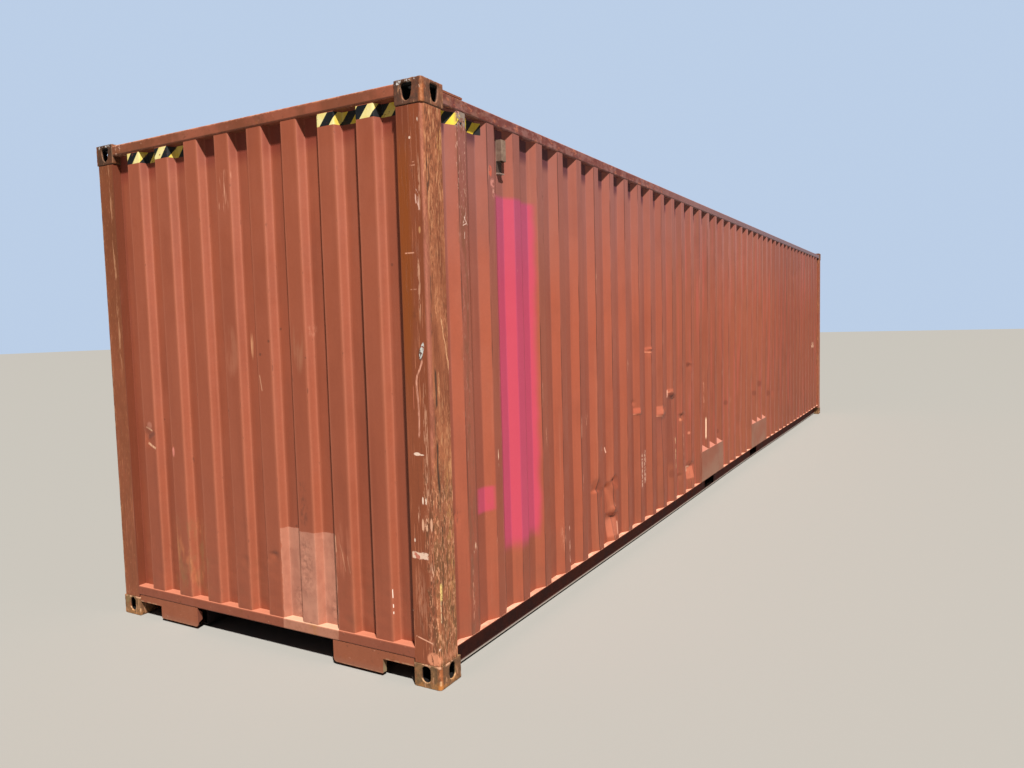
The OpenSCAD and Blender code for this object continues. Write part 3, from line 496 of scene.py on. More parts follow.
    # sprayed marking band, crisp above and fading below and at its sides
    wob = nb.noise(6, 3, 0.5, off=19).ss(0, 1, -0.03, 0.03)
    pm = (x + wob * 0.45).ss(-5.468, -5.412) * (x + wob * 0.45).ss(-4.962, -5.018) * (z + wob * 0.12).ss(2.466, 2.432) * (z + wob).ss(0.46, 0.58)
    pm = pm * nb.noise(14, 4, 0.6, sz=0.12, off=29).ss(0.14, 0.36, 0.62, 1.0)
    pm2 = (x + wob * 0.3).band(-5.652, -5.530, 0.018) * (z + wob * 0.2).band(0.764, 0.896, 0.012) * nb.noise(18, 4, 0.6, off=30).ss(0.2, 0.45, 0.5, 1.0)
    dye = nb.mix(slope, nb.mix(z.ss(1.8, 2.4) * 0.45, rgb(188, 64, 98), rgb(164, 78, 116)), nb.mix(z.ss(1.8, 2.4) * 0.4, rgb(196, 64, 90), rgb(192, 70, 106)))
    c = nb.mix(pm * 0.86, c, dye)
    c = nb.mix(pm2 * 0.76, c, dye)
    # what is left of the hazard stripes by the post
    s = nb.attr("arc")
    sf = ((s - 0.112 - (z - 2.76) * 0.9) / 0.109).fract()
    black = sf.band(0.5, 1.0, 0.012) + sf.ss(0.01, 0.0)
    tm = z.band(2.732, 2.792, 0.0015) * x.band(-5.942, -5.553, 0.002)
    torn = (c0 * nb.noise(46, 4, 0.7, off=51).ss(0.40, 0.46)).inv() * nb.noise(24, 4, 0.7, off=52).ss(0.28, 0.34)
    # the tape's yellow is painted darker in the recesses: painted shade
    tape = nb.mix(black, nb.mix(dep.ss(0.3, 0.8), rgb(238, 212, 70), rgb(226, 192, 56)), rgb(24, 25, 26))
    tm = tm * torn
    c = nb.mix(tm, c, tape)
    dust = nb.up()[2].ss(0.45, 0.9)
    c = nb.mix(dust * 0.5, c, rgb(204, 150, 124))
    rough = nb.noise(7, 3, 0.6, off=5).ss(0.2, 0.8, 0.46, 0.64) + pm * 0.08
    bump = fine * 0.08 + nb.noise(13, 3, 0.5, off=6) * 0.6 - ch * 0.4 - k2 * 0.3 - line * 0.3
    return nb.finish(c, rough, bump, 0.0012, spec=0.4)


def mat_wall_plain(name="paint_plain_wall", top=False, seed=0.0):
    nb = NB(name)
    c, fine = paint(nb, rgb(168, 88, 64), rgb(180, 104, 82), rgb(138, 68, 48), 0.30 if not top else 0.0)
    bend = nb.attr("bend")
    worn = nb.noise(34, 4, 0.7, sz=0.3, off=8)
    if top:                       # roof: faded, with pools of dust and rust blooms
        c = nb.mix(nb.noise(2.2, 4, 0.6, off=41).ss(0.35, 0.7) * 0.5, c, rgb(176, 120, 102))
        pool = nb.z.ss(2.872, 2.866) * nb.noise(4, 4, 0.65, off=44).ss(0.42, 0.66)
        c = nb.mix(pool * 0.55, c, rgb(134, 98, 80))
        bloom = nb.noise(3.1, 5, 0.7, off=47).ss(0.60, 0.70)
        c = nb.mix(bloom * 0.8, c, rust_mix(nb, 61))
        ch = bend * worn.ss(0.60, 0.68)
    else:
        dep = nb.attr("dep")
        slope = dep.band(0.06, 0.94, 0.04)
        c = nb.mix(slope * 0.5, c, rgb(182, 92, 64))
        c = nb.mix(nb.z.ss(1.7, 2.85) * 0.3, c, rgb(150, 108, 104))
        c = nb.mix(nb.z.ss(0.7, 0.15) * nb.noise(4, 3, 0.6, off=16 + seed).ss(0.3, 0.75) * 0.42, c, rgb(142, 100, 76))
        run = nb.noise(24, 3, 0.6, sz=0.03, off=63 + seed)
        c = nb.mix(run.ss(0.60, 0.75) * 0.30, c, rgb(196, 124, 102))
        c = nb.mix(run.ss(0.36, 0.25) * 0.28, c, rgb(116, 60, 48))
        sp = nb.vor(6.0, off=3).ss(0.08, 0.045) * nb.noise(2.0, 2, 0.5, off=31 + seed).ss(0.5, 0.62)
        c = nb.mix(sp * 0.8, c, rgb(96, 50, 34))
        scr = nb.noise(60, 3, 0.6, sz=0.12, off=35 + seed).ss(0.62, 0.68) * nb.noise(1.6, 3, 0.6, off=36 + seed).ss(0.54, 0.66)
        c = nb.mix(scr * 0.7, c, PALE)
        ch = bend * worn.ss(0.66, 0.73)
    c = nb.mix(ch * 0.7, c, rgb(112, 62, 44))
    rough = nb.noise(7, 3, 0.6, off=5).ss(0.2, 0.8, 0.48, 0.68)
    bump = fine * 0.1 + nb.noise(13, 3, 0.5, off=6) * 0.7 - ch * 0.4
    return nb.finish(c, rough, bump, 0.0012, spec=0.4)


def mat_frame(name="paint_frame", amount=0.5, off=0.0, kind=""):
    """rails, header, door frames: darker paint, rust along edges and in spots"""
    nb = NB(name)
    y, z = nb.y, nb.z
    c, fine = paint(nb, rgb(154, 86, 64), rgb(170, 104, 84), rgb(128, 66, 48), 0.20)
    tones = {"": (0.82, 0.84, 0.76), "front": (1.00, 0.95, 0.87), "sill": (0.79, 0.72, 0.64), "plate": (0.90, 0.88, 0.69)}
    if kind in tones:
        c = mult(nb, c, tones[kind])
    if kind == "front":          # browner, with a worn light upper edge
        c = nb.mix(nb.noise(5, 5, 0.7, sz=1.0, off=57).ss(0.40, 0.60) * 0.55, c, rgb(112, 64, 40))
        c = nb.mix(y.ss(0.3, 1.0) * 0.45, c, rgb(118, 70, 40))
        c = nb.mix(z.ss(2.868, 2.886) * nb.noise(26, 4, 0.7, sz=2.0, off=58).ss(0.44, 0.56) * 0.85, c, rgb(216, 150, 116))
        c = nb.mix(y.ss(0.90, 1.02) * nb.noise(30, 4, 0.7, off=59).ss(0.55, 0.64), c, rgb(222, 176, 150))
    a = nb.noise(9, 5, 0.7, off=3 + off)
    r = a.ss(0.70 - 0.2 * amount, 0.80 - 0.2 * amount)
    c = nb.mix(r * 0.8, c, rust_mix(nb, 9 + off))
    sp = nb.noise(55, 4, 0.7, off=off + 2).ss(0.62, 0.68)
    c = nb.mix(sp * 0.5, c, rgb(104, 60, 44))
    pale = nb.noise(70, 3, 0.6, sx=0.25, sy=0.5, off=off + 12).ss(0.68, 0.74)
    c = nb.mix(pale * 0.5, c, rgb(214, 156, 130))
    if kind == "top":            # side top rails grow greyer along their length
        c = nb.mix(nb.x.ss(-5.5, 4.5, 0.20, 0.60), c, rgb(142, 124, 130))
        c = mult(nb, c, run2(nb, nb.x, -4.0, 1.0, (0.88, 0.98, 1.10), (0.76, 0.90, 1.06)))
        c = nb.mix(nb.x.ss(-5.2, -5.9) * nb.noise(8, 5, 0.7, off=67).ss(0.36, 0.56) * 0.7, c, rgb(128, 82, 56))
        near_ = nb.x.ss(-1.5, -3.8)
        c = nb.mix(near_ * nb.noise(22, 5, 0.75, sx=0.7, off=68).ss(0.42, 0.56) * 0.75, c, rgb(106, 46, 40))
        c = nb.mix(near_ * nb.noise(34, 4, 0.7, sx=0.5, off=69).ss(0.55, 0.63) * 0.70, c, rgb(190, 112, 84))
        c = nb.mix((near_ * 0.35 + 0.45) * nb.z.ss(2.868, 2.886) * nb.noise(30, 4, 0.7, sx=0.3, off=70).ss(0.42, 0.56), c, rgb(216, 154, 132))
    if kind == "sill":
        wav = nb.noise(16, 3, 0.6, off=4).ss(0.0, 1.0, -0.006, 0.006)
        patch = (y + wav).band(-0.574, -0.178, 0.003)
        c = nb.mix(patch * 0.50, c, nb.mix(nb.noise(30, 4, 0.7, off=9).ss(0.45, 0.65) * 0.5, rgb(206, 146, 120), rgb(168, 116, 88)))
        c = nb.mix(absdiff(y, -0.395).ss(0.05, 0.01) * nb.noise(30, 4, 0.7, off=19).ss(0.4, 0.6) * 0.5, c, rgb(168, 112, 58))
    if kind == "plate":          # paint rubbed off the lower edges
        front = nb.up()[0].ss(-0.5, -0.8)
        low_ = z.ss(0.103, 0.095) * (y.abs()).ss(0.858, 0.862) + z.ss(0.024, 0.018)
        c = nb.mix((low_ * front * nb.noise(34, 4, 0.7, off=61).ss(0.40, 0.58) * 0.6).clamp(), c, rgb(188, 146, 112))
        c = nb.mix(z.ss(0.06, 0.018) * front * 0.35, c, rgb(150, 104, 84))
        # bare folded flanges at the outer ends
        c = nb.mix(nb.up()[1].abs().ss(0.6, 0.85) * (y.abs()).ss(0.84, 0.85), c, nb.mix(z.ss(0.03, 0.09), rgb(142, 122, 92), rgb(130, 94, 68)))
        c = nb.mix(nb.up()[1].abs().ss(0.6, 0.85) * (y.abs()).ss(0.56, 0.55), c, rgb(120, 66, 48))
    dust = nb.up()[2].ss(0.4, 0.9)
    dustc = rgb(206, 138, 110)
    if kind == "sill":
        dustc = nb.mix(patch, rgb(214, 134, 104), rgb(228, 186, 154))
    c = nb.mix(dust * (0.65 if kind == "sill" else 0.5), c, dustc)
    rough = a.ss(0.3, 0.8, 0.5, 0.8)
    bump = fine * 0.15 + nb.noise(24, 4, 0.6, off=off) * 0.5 + r * nb.noise(60, 4, 0.7, off=1) * 0.9 - sp * 0.3
    return nb.finish(c, rough, bump, 0.0013, spec=0.35)


def mat_post(name, kind):
    """pressed corner post: painted end face, rounded corner and side face rubbed to rust with upright scratches"""
    nb = NB(name)
    x, y, z = nb.x, nb.y, nb.z
    ay = y.abs()
    if kind == "rear":
        c, fine = paint(nb, rgb(148, 78, 54), rgb(164, 98, 74), rgb(120, 58, 40), 0.3)
    elif kind == "near":
        c, fine = paint(nb, rgb(138, 70, 41), rgb(160, 90, 60), rgb(112, 54, 32), 0.3)
    else:
        c, fine = paint(nb, rgb(144, 76, 46), rgb(160, 92, 60), rgb(112, 60, 36), 0.3)
    wide = nb.noise(20, 4, 0.65, sz=0.16, off=3)
    flake = nb.noise(112, 3, 0.62, sz=0.30, off=31)
    thin = nb.noise(125, 2, 0.55, sz=0.10, off=33)
    blot = nb.noise(7.5, 5, 0.7, sz=0.45, off=15)
    jag = nb.noise(22, 4, 0.65, sz=0.5, off=47).ss(0.0, 1.0, -0.035, 0.035)
    if kind == "near":
        side = y.ss(-1.192, -1.206)
        low = (y + jag).ss(-1.148, -1.164) * (z + jag * 3.0).ss(1.16, 0.92)
    elif kind == "front":
        side = ay.ss(1.160, 1.212) * blot.ss(0.36, 0.56) * 0.9
        low = None
    else:
        side = ay.ss(1.165, 1.212) * blot.ss(0.44, 0.60) * 0.7
        low = None
    body = nb.mix(wide.ss(0.36, 0.62), rgb(126, 68, 40), rgb(168, 98, 62))
    busy, pale_ = nb.x.ss(-7.0, -6.9), rgb(208, 148, 100)
    if kind == "near":            # redder and calmer above, golden and flaked below
        body = nb.mix(z.ss(0.8, 1.5), body, nb.mix(wide.ss(0.34, 0.62), rgb(132, 70, 42), rgb(166, 98, 64)))
        body = nb.mix(z.ss(1.2, 0.4) * 0.55, body, rgb(152, 96, 46))
        # smooth mauve strip beside the corner: paint left there, with a painted highlight where the corner turns
        body = nb.mix(absdiff(x + nb.noise(6, 2, 0.5, sz=0.6, off=103).ss(0, 1, -0.010, 0.010), -6.083).ss(0.015, 0.007) * z.ss(0.9, 1.5) * z.ss(2.50, 2.20) * 0.60, body, rgb(142, 80, 64))
        patchy = nb.noise(11, 4, 0.7, sz=0.30, off=101).ss(0.40, 0.58, 0.25, 1.0)
        calm = spot(nb, x, z, -6.030, 1.64, 0.055, 0.15, 0.5)
        upr = absdiff(x, -5.965).ss(0.05, 0.02) * z.ss(2.35, 2.55) * 0.5 + absdiff(x, -6.045).ss(0.030, 0.012) * z.ss(1.90, 2.10) * 0.55
        busy = ((patchy * z.ss(0.7, 1.6, 0.95, 0.62) + upr - calm * 0.6) * (x.ss(-6.050, -6.070) * z.ss(0.9, 1.3) * z.ss(2.35, 2.15) * 0.62).inv()).clamp()
        pale_ = nb.mix(z.ss(1.4, 0.8), rgb(206, 138, 98), rgb(196, 132, 74))
    body = nb.mix(flake.ss(0.46, 0.39) * busy * 0.66, body, rgb(92, 52, 30))
    body = nb.mix(flake.ss(0.55, 0.62) * busy * 0.62, body, pale_)
    body = nb.mix(thin.ss(0.36, 0.31) * busy * 0.60, body, rgb(66, 40, 26))
    body = nb.mix(thin.ss(0.59, 0.64) * busy * 0.80, body, rgb(220, 158, 112))
    c = nb.mix(side * 0.94, c, body)
    if low is not None:
        c = nb.mix(low * 0.55, c, nb.mix(nb.noise(34, 4, 0.7, sz=0.3, off=53).ss(0.42, 0.56), rgb(92, 66, 42), rgb(158, 92, 64)))
        c = nb.mix(low * flake.ss(0.55, 0.62) * 0.7, c, rgb(210, 146, 110))
        c = nb.mix(low * thin.ss(0.40, 0.34) * 0.6, c, rgb(62, 42, 28))
    rust = (blot * 0.8 + flake * 0.2).ss(0.58, 0.68) * (0.35 if kind == "rear" else 0.4)
    c = nb.mix(rust * side.inv(), c, rust_mix(nb, 20))
    # paint scratched through in long upright lines, more of them low down
    scr = nb.noise(150, 3, 0.55, sx=1.0, sy=1.0, sz=0.035, off=77).ss(0.58, 0.64) * nb.noise(6, 3, 0.6, sz=0.5, off=78).ss(0.38, 0.56)
    c = nb.mix(scr * side.inv() * z.ss(2.3, 1.0, 0.35, 0.7), c, rgb(200, 124, 88))
    dks = nb.noise(120, 3, 0.55, sz=0.04, off=79).ss(0.60, 0.66) * z.ss(1.6, 0.9)
    c = nb.mix(dks * side.inv() * 0.5, c, rgb(96, 54, 34))
    if kind == "near":
        face = y.ss(-1.208, -1.200)
        W, T, SA = rgb(240, 208, 186), rgb(224, 168, 136), rgb(216, 140, 104)
        # orange brown strip by the inner edge of the end face, wide above
        edge_ = z.ss(1.45, 2.0, -1.100, -1.124)
        strip = (y - edge_ + jag * 0.25).ss(-0.022, 0.012) * y.ss(-1.058, -1.074) * z.ss(1.25, 1.75) * z.ss(2.76, 2.42)
        c = nb.mix(z.ss(2.45, 2.75) * y.ss(-1.150, -1.120) * 0.45, c, rgb(106, 48, 32))
        c = nb.mix(strip * nb.noise(30, 3, 0.6, sz=0.04, off=6).ss(0.15, 0.55, 0.55, 0.95), c, rgb(140, 70, 24))
        # painted highlight along the rounded corner
        c = nb.mix(absdiff(y, -1.203).ss(0.011, 0.003) * x.ss(-6.066, -6.084) * z.ss(0.9, 1.3) * nb.noise(9, 3, 0.6, sz=0.5, off=91).ss(0.28, 0.52) * 0.45, c, rgb(182, 108, 88))
        g1 = nb.noise(60, 3, 0.65, sz=0.5, off=2).ss(0.36, 0.46)
        g2 = nb.noise(110, 3, 0.6, sz=0.12, off=12).ss(0.46, 0.54)
        # a long wandering scratch under a chip
        yc = z.ss(1.60, 1.50, -1.166, -1.131) + z.ss(1.50, 1.36, 0.0, -0.009) + z.ss(1.36, 1.24, 0.0, 0.005) + nb.noise(14, 2, 0.5, sz=1.0, off=5).ss(0, 1, -0.004, 0.004)
        long_ = (y - yc).abs().ss(0.0068, 0.0030) * z.band(1.235, 1.605, 0.012) * g2.ss(0, 1, 0.45, 1.0)
        c = nb.mix(long_ * face, c, rgb(224, 158, 132))
        c = nb.mix(absdiff(y, -1.111).ss(0.003, 0.001) * z.band(1.365, 1.475, 0.01) * 0.7, c, rgb(196, 112, 84))
        chip = spot(nb, y + (z - 1.642) * 0.25, z, -1.167, 1.642, 0.0105, 0.037, 0.3) * nb.noise(90, 3, 0.65, off=18).ss(0.43, 0.49)
        # painted shadow beside the chip
        c = nb.mix(spot(nb, y, z, -1.160, 1.625, 0.012, 0.03, 0.4) * 0.7, c, rgb(70, 52, 42))
        c = nb.mix(chip, c, rgb(206, 206, 200))
        # short marks
        c = spots(nb, c, y, z, g1, ((-1.120, 1.150, 0.018, 0.0075, 1.4, W), (-1.146, 1.147, 0.014, 0.003, 1.0, W), (-1.179, 2.203, 0.006, 0.016, 0.9, rgb(196, 140, 92)),
                                    (-1.139, 2.627, 0.005, 0.006, 1.2, W), (-1.186, 2.703, 0.003, 0.010, 1.0, W), (-1.089, 0.729, 0.004, 0.009, 1.2, W),
                                    (-1.1445, 0.926, 0.0045, 0.017, 1.4, W), (-1.1625, 0.926, 0.0045, 0.017, 1.4, W), (-1.140, 0.805, 0.0060, 0.030, 1.4, T),
                                    (-1.163, 0.810, 0.0065, 0.030, 1.4, T), (-1.190, 0.812, 0.0065, 0.030, 1.3, T), (-1.152, 0.795, 0.003, 0.02, 0.9, T),
                                    (-1.178, 0.150, 0.036, 0.031, 1.5, SA)), face.max(0.6))
        c = spots(nb, c, y, z, g2, ((-1.185, 2.42, 0.006, 0.12, 0.55, T),
                                    (-1.189, 0.580, 0.013, 0.045, 1.0, T), (-1.120, 0.86, 0.006, 0.05, 0.9, T), (-1.165, 1.95, 0.008, 0.16, 0.6, T),
                                    (-1.175, 1.20, 0.012, 0.30, 0.5, T), (-1.10, 0.50, 0.02, 0.12, 0.22, SA), (-1.12, 0.42, 0.03, 0.14, 0.18, T)))
        rag = nb.noise(120, 3, 0.65, sz=0.22, off=107).ss(0.44, 0.54)
        for (a_, b_, h_, k_) in (((-1.160, 2.372), (-1.166, 2.322), 0.0042, 0.9), ((-1.171, 2.360), (-1.181, 2.290), 0.0048, 1.0), ((-1.164, 2.392), (-1.176, 2.372), 0.0022, 0.7)):
            c = nb.mix(stroke(y, z, a_, b_, h_) * rag * k_, c, rgb(226, 178, 160))
        # level ticks, a rubbed bar and a slanting scratch
        for (cz, ya, yb, w_, k_) in ((2.10, -1.143, -1.091, 0.0022, 0.8), (2.500, -1.165, -1.136, 0.0020, 0.6), (2.515, -1.160, -1.150, 0.0018, 0.6), (1.93, -1.150, -1.115, 0.0018, 0.4)):
            c = nb.mix(absdiff(z, cz).ss(w_ * 2, w_ * 0.7) * y.band(ya, yb, 0.003) * g1 * k_, c, rgb(226, 160, 130))
        bar = (z + jag * 0.3).band(0.640, 0.671, 0.003) * y.band(-1.166, -1.071, 0.003)
        c = nb.mix(bar * nb.noise(40, 4, 0.7, off=28).ss(0.36, 0.46) * 0.85, c, nb.mix(nb.noise(30, 3, 0.6, off=29).ss(0.42, 0.54), rgb(204, 120, 100), rgb(244, 210, 186)))
        sl = (z - 0.251 - (y + 1.080) * 0.242)
        c = nb.mix(sl.abs().ss(0.0046, 0.0016) * y.band(-1.176, -1.078, 0.004) * nb.noise(40, 3, 0.6, off=38).ss(0.34, 0.44), c, rgb(228, 164, 134))
        # side face: dark grooves by the corner, a torn scar, yellow rust and marks
        sfm = y.ss(-1.198, -1.210)
        gx = x + nb.noise(8, 3, 0.6, sz=0.5, off=95).ss(0, 1, -0.012, 0.012)
        gl = nb.noise(5, 3, 0.6, off=96)
        groove = absdiff(gx, -6.066).ss(0.0055, 0.0020) * gl.ss(0.52, 0.60) * 0.6 + spot(nb, x, z, -6.062, 2.44, 0.014, 0.08, 0.6) * thin.ss(0.56, 0.46) * 0.6 + absdiff(gx, -6.055).ss(0.010, 0.004) * (spot(nb, x, z, -6.055, 1.46, 0.04, 0.09, 0.4) + spot(nb, x, z, -6.066, 1.08, 0.04, 0.13, 0.4))
        c = nb.mix(groove.clamp() * sfm * 0.85, c, rgb(60, 42, 30))
        c = spots(nb, c, x, z, g2, ((-6.020, 1.86, 0.024, 0.08, 0.75, rgb(206, 136, 94)), (-5.962, 2.62, 0.022, 0.06, 0.75, rgb(196, 140, 84)), (-5.962, 2.48, 0.020, 0.12, 0.5, rgb(178, 114, 72)),
                                    (-6.030, 1.44, 0.008, 0.10, 0.8, rgb(212, 150, 104)), (-5.96, 1.20, 0.02, 0.20, 0.5, rgb(204, 142, 100)), (-5.975, 0.60, 0.03, 0.30, 0.4, rgb(196, 140, 80)),
                                    (-5.98, 0.95, 0.03, 0.2, 0.4, rgb(196, 140, 86))), sfm * nb.noise(80, 3, 0.65, sz=0.35, off=109).ss(0.42, 0.54))
        tear = (x - ((z - 1.756) * -0.22 + -5.987) + nb.noise(20, 3, 0.6, off=97).ss(0, 1, -0.010, 0.010)).abs()
        c = nb.mix(tear.ss(0.0055, 0.002) * z.band(1.50, 1.79, 0.01) * sfm * 0.8, c, rgb(226, 166, 122))
        c = nb.mix(absdiff(x, -6.066).ss(0.0105, 0.0060) * z.band(0.440, 0.520, 0.008) * nb.noise(60, 3, 0.6, off=98).ss(0.36, 0.44) * 0.95, c, rgb(236, 202, 122))
        c = nb.mix(absdiff(x, -6.071).ss(0.0035, 0.0015) * z.band(0.325, 0.44, 0.01) * nb.noise(60, 3, 0.6, off=99).ss(0.40, 0.50) * 0.9, c, rgb(228, 196, 150))
        c = nb.mix(spot(nb, x, z, -6.084, 0.200, 0.0035, 0.008) * g1 * 0.8, c, W)
    if kind == "front":
        c = nb.mix(blot.ss(0.34, 0.58) * 0.50, c, rgb(122, 64, 34))
        c = nb.mix(z.ss(1.5, 2.4) * 0.30, c, rgb(98, 58, 34))
        inner = ay.ss(1.074, 1.068)
        c = nb.mix(inner * 0.7, c, rgb(122, 60, 42))
        c = nb.mix(flake.ss(0.60, 0.66) * (inner.inv() * 0.32), c, rgb(190, 126, 84))
        c = nb.mix(ay.band(1.090, 1.112, 0.004) * nb.noise(70, 3, 0.6, sz=0.12, off=43).ss(0.52, 0.60) * z.ss(1.4, 1.8) * 0.6, c, rgb(206, 150, 112))
        c = nb.mix(ay.ss(1.190, 1.204) * nb.noise(30, 4, 0.7, sz=0.4, off=45).ss(0.47, 0.55) * 0.85, c, rgb(226, 176, 138))
        c = nb.mix(ay.band(1.12, 1.16, 0.01) * nb.noise(34, 4, 0.7, sz=0.4, off=46).ss(0.60, 0.66) * z.ss(1.3, 1.0) * 0.5, c, rgb(206, 142, 106))
    # weld seam at both castings
    gr = absdiff(z, 0.1185).ss(0.0025, 0.001) * nb.noise(30, 3, 0.6, off=36).ss(0.40, 0.60) * 0.5 + absdiff(z, 2.7775).ss(0.004, 0.001)
    c = nb.mix(gr * 0.8, c, rgb(48, 26, 20))
    rough = side.ss(0, 1, 0.52, 0.80)
    bump = fine * 0.2 + side * flake * 1.3 + wide * side * 0.6 + thin * (side * 0.5 + 0.2) - scr * 0.3
    return nb.finish(c, rough, bump, 0.0020, spec=0.35)


def mat_cast():
    nb = NB("cast_corner")
    x, y, z = nb.x, nb.y, nb.z
    nx, ny, nz = nb.up()
    a = nb.noise(14, 5, 0.7, off=2)
    b = nb.noise(45, 5, 0.75, off=7)
    up_ = z.ss(1.0, 2.0)
    sd = ny.abs().ss(0.5, 0.85)
    c = nb.mix(a.ss(0.35, 0.62), nb.mix(up_, rgb(108, 80, 54), rgb(90, 58, 44)), nb.mix(up_, rgb(132, 96, 64), rgb(124, 78, 58)))
    c = nb.mix(b.ss(0.42, 0.62) * 0.5, c, nb.mix(up_, rgb(90, 70, 48), rgb(80, 54, 42)))
    red = nb.noise(7, 4, 0.7, off=19).ss(0.52, 0.64)
    c = nb.mix(red * 0.55, c, rgb(138, 74, 46))
    olive = nb.noise(8, 4, 0.6, off=29).ss(0.54, 0.68) * up_.inv() * sd.inv()
    c = nb.mix(olive * 0.5, c, rgb(132, 110, 74))
    low_side = nb.mix(sd, (1.10, 1.06, 0.98, 1.0), (0.88, 0.75, 0.74, 1.0))
    top_side = nb.mix(sd, (0.80, 0.84, 0.86, 1.0), (1.40, 1.40, 1.34, 1.0))
    c = mult(nb, c, nb.mix(up_, low_side, top_side))
    c = mult(nb, c, nb.mix(up_ * y.ss(0.9, 1.0) * x.ss(-5.9, -6.0), (1.0, 1.0, 1.0, 1.0), (0.70, 0.74, 0.62, 1.0)))
    # upright streaks of rust
    st = nb.noise(60, 3, 0.6, sz=0.2, off=71)
    c = nb.mix(st.ss(0.60, 0.66) * 0.6, c, rgb(196, 142, 104))
    c = nb.mix(st.ss(0.40, 0.34) * 0.5, c, rgb(66, 44, 32))
    # worn corner edges: orange and dark rust along the upright outer corner
    ax, ay = x.abs(), y.abs()
    cor = (ax.ss(6.068, 6.086) * ay.ss(1.191, 1.209))
    c = nb.mix(cor * 0.75, c, nb.mix(nb.noise(34, 4, 0.7, sz=0.35, off=11).ss(0.40, 0.58), rgb(88, 46, 26), rgb(176, 98, 52)))
    c = nb.mix(cor * z.ss(0.045, 0.015) * 0.7, c, rgb(214, 134, 60))
    # a bright edge below each hole and along the lowest edge: worn paint with a painted highlight on the lit rims
    rim = nb.attr("rim")
    lowh = absdiff(z, 0.036).ss(0.016, 0.008) * 0.9 + z.ss(0.010, 0.004) * 0.6 + up_ * 0.15
    c = nb.mix(rim * lowh.clamp() * nb.noise(40, 4, 0.7, off=3).ss(0.34, 0.50) * 0.75, c, rgb(226, 176, 130))
    c = nb.mix(z.band(0.107, 0.1180, 0.002) * nb.noise(30, 4, 0.7, off=23).ss(0.46, 0.58) * 0.8, c, rgb(204, 150, 118))
    chips = nb.noise(34, 4, 0.7, sz=0.6, off=37).ss(0.68, 0.72)
    c = nb.mix(chips * 0.7, c, rgb(206, 170, 146))
    nearc = x.ss(-5.9, -6.0)
    c = nb.mix(nearc * ay.ss(1.0, 1.05) * z.band(2.872, 2.890, 0.003) * nb.noise(36, 4, 0.7, off=43).ss(0.52, 0.60) * ay.ss(1.19, 1.17), c, rgb(214, 208, 204))
    c = nb.mix(nearc * z.ss(0.05, 0.02) * nb.noise(26, 4, 0.7, off=47).ss(0.45, 0.6) * 0.5, c, rgb(190, 128, 70))
    # painted shade: the hole walls and the hollow, a few millimetres in from every outer face, are painted near black
    zd = 0.059 - ((z - 1.448).abs() - 1.389).abs()
    inset = (6.096 - ax).min(1.219 - ay).min(zd).min(ax - 5.918).min(ay - 1.057)
    c = nb.mix(inset.ss(0.0050, 0.0110), c, rgb(12, 9, 9))
    rough = b.ss(0.3, 0.7, 0.62, 0.85)
    bump = a * 0.8 + b * 0.7 + st * 0.4
    return nb.finish(c, rough, bump, 0.0018, spec=0.3)


def mat_under():
    nb = NB("underseal")
    a = nb.noise(10, 5, 0.7, off=2)
    b = nb.noise(60, 4, 0.7, off=4)
    c = nb.mix(a.ss(0.35, 0.65), rgb(34, 28, 30), rgb(48, 36, 36))
    c = nb.mix(nb.noise(5, 4, 0.7, off=13).ss(0.56, 0.70) * 0.5, c, rgb(70, 50, 44))
    return nb.finish(c, a.ss(0.2, 0.8, 0.6, 0.85), a * 0.5 + b * 0.4, 0.0015, spec=0.15)


def mat_rail_low():
    """bottom side rail: painted flange, dark sealed web, painted highlight along the lower lip"""
    nb = NB("bottom_rail")
    a = nb.noise(10, 5, 0.7, off=2)
    c = nb.mix(a.ss(0.35, 0.65), rgb(83, 46, 42), rgb(107, 61, 52))
    c = nb.mix(nb.noise(26, 4, 0.7, sz=0.3, off=6).ss(0.62, 0.74) * 0.4, c, rgb(100, 54, 44))
    c = mult(nb, c, run2(nb, nb.x, -4.5, -1.0, (1.0, 0.84, 0.78), (1.04, 0.70, 0.66)))
    flange = nb.z.ss(0.158, 0.162)
    top = nb.mix(nb.noise(14, 4, 0.6, off=9).ss(0.3, 0.7), rgb(228, 172, 144), rgb(206, 134, 108))
    c = nb.mix(flange, c, nb.mix(nb.up()[2].ss(0.3, 0.8), rgb(120, 62, 46), top))
    # painted highlight: the lower lip is painted pale where the light catches it
    lip = nb.z.ss(0.030, 0.024)
    c = nb.mix(lip * 0.85, c, rgb(178, 168, 158))
    b = nb.noise(60, 4, 0.7, off=4)
    return nb.finish(c, a.ss(0.2, 0.8, 0.64, 0.86), a * 0.5 + b * 0.4, 0.0014, spec=0.10)


def mat_pad():
    nb = NB("paint_pad")
    c, fine = paint(nb, rgb(154, 102, 84), rgb(168, 118, 98), rgb(132, 82, 66), 0.15)
    c = mult(nb, c, (0.84, 0.65, 0.54))
    c = nb.mix(nb.noise(3.0, 3, 0.6, off=14).ss(0.35, 0.65) * 0.5, c, rgb(150, 118, 98))
    r = nb.noise(24, 5, 0.7, off=4).ss(0.64, 0.72)
    c = nb.mix(r * 0.6, c, rgb(100, 60, 44))
    dust = nb.up()[2].ss(0.3, 0.8)
    c = nb.mix(dust * 0.6, c, rgb(224, 142, 122))
    return nb.finish(c, 0.66, fine * 0.3 + nb.noise(16, 3, 0.5) * 0.5, 0.0012, spec=0.35)


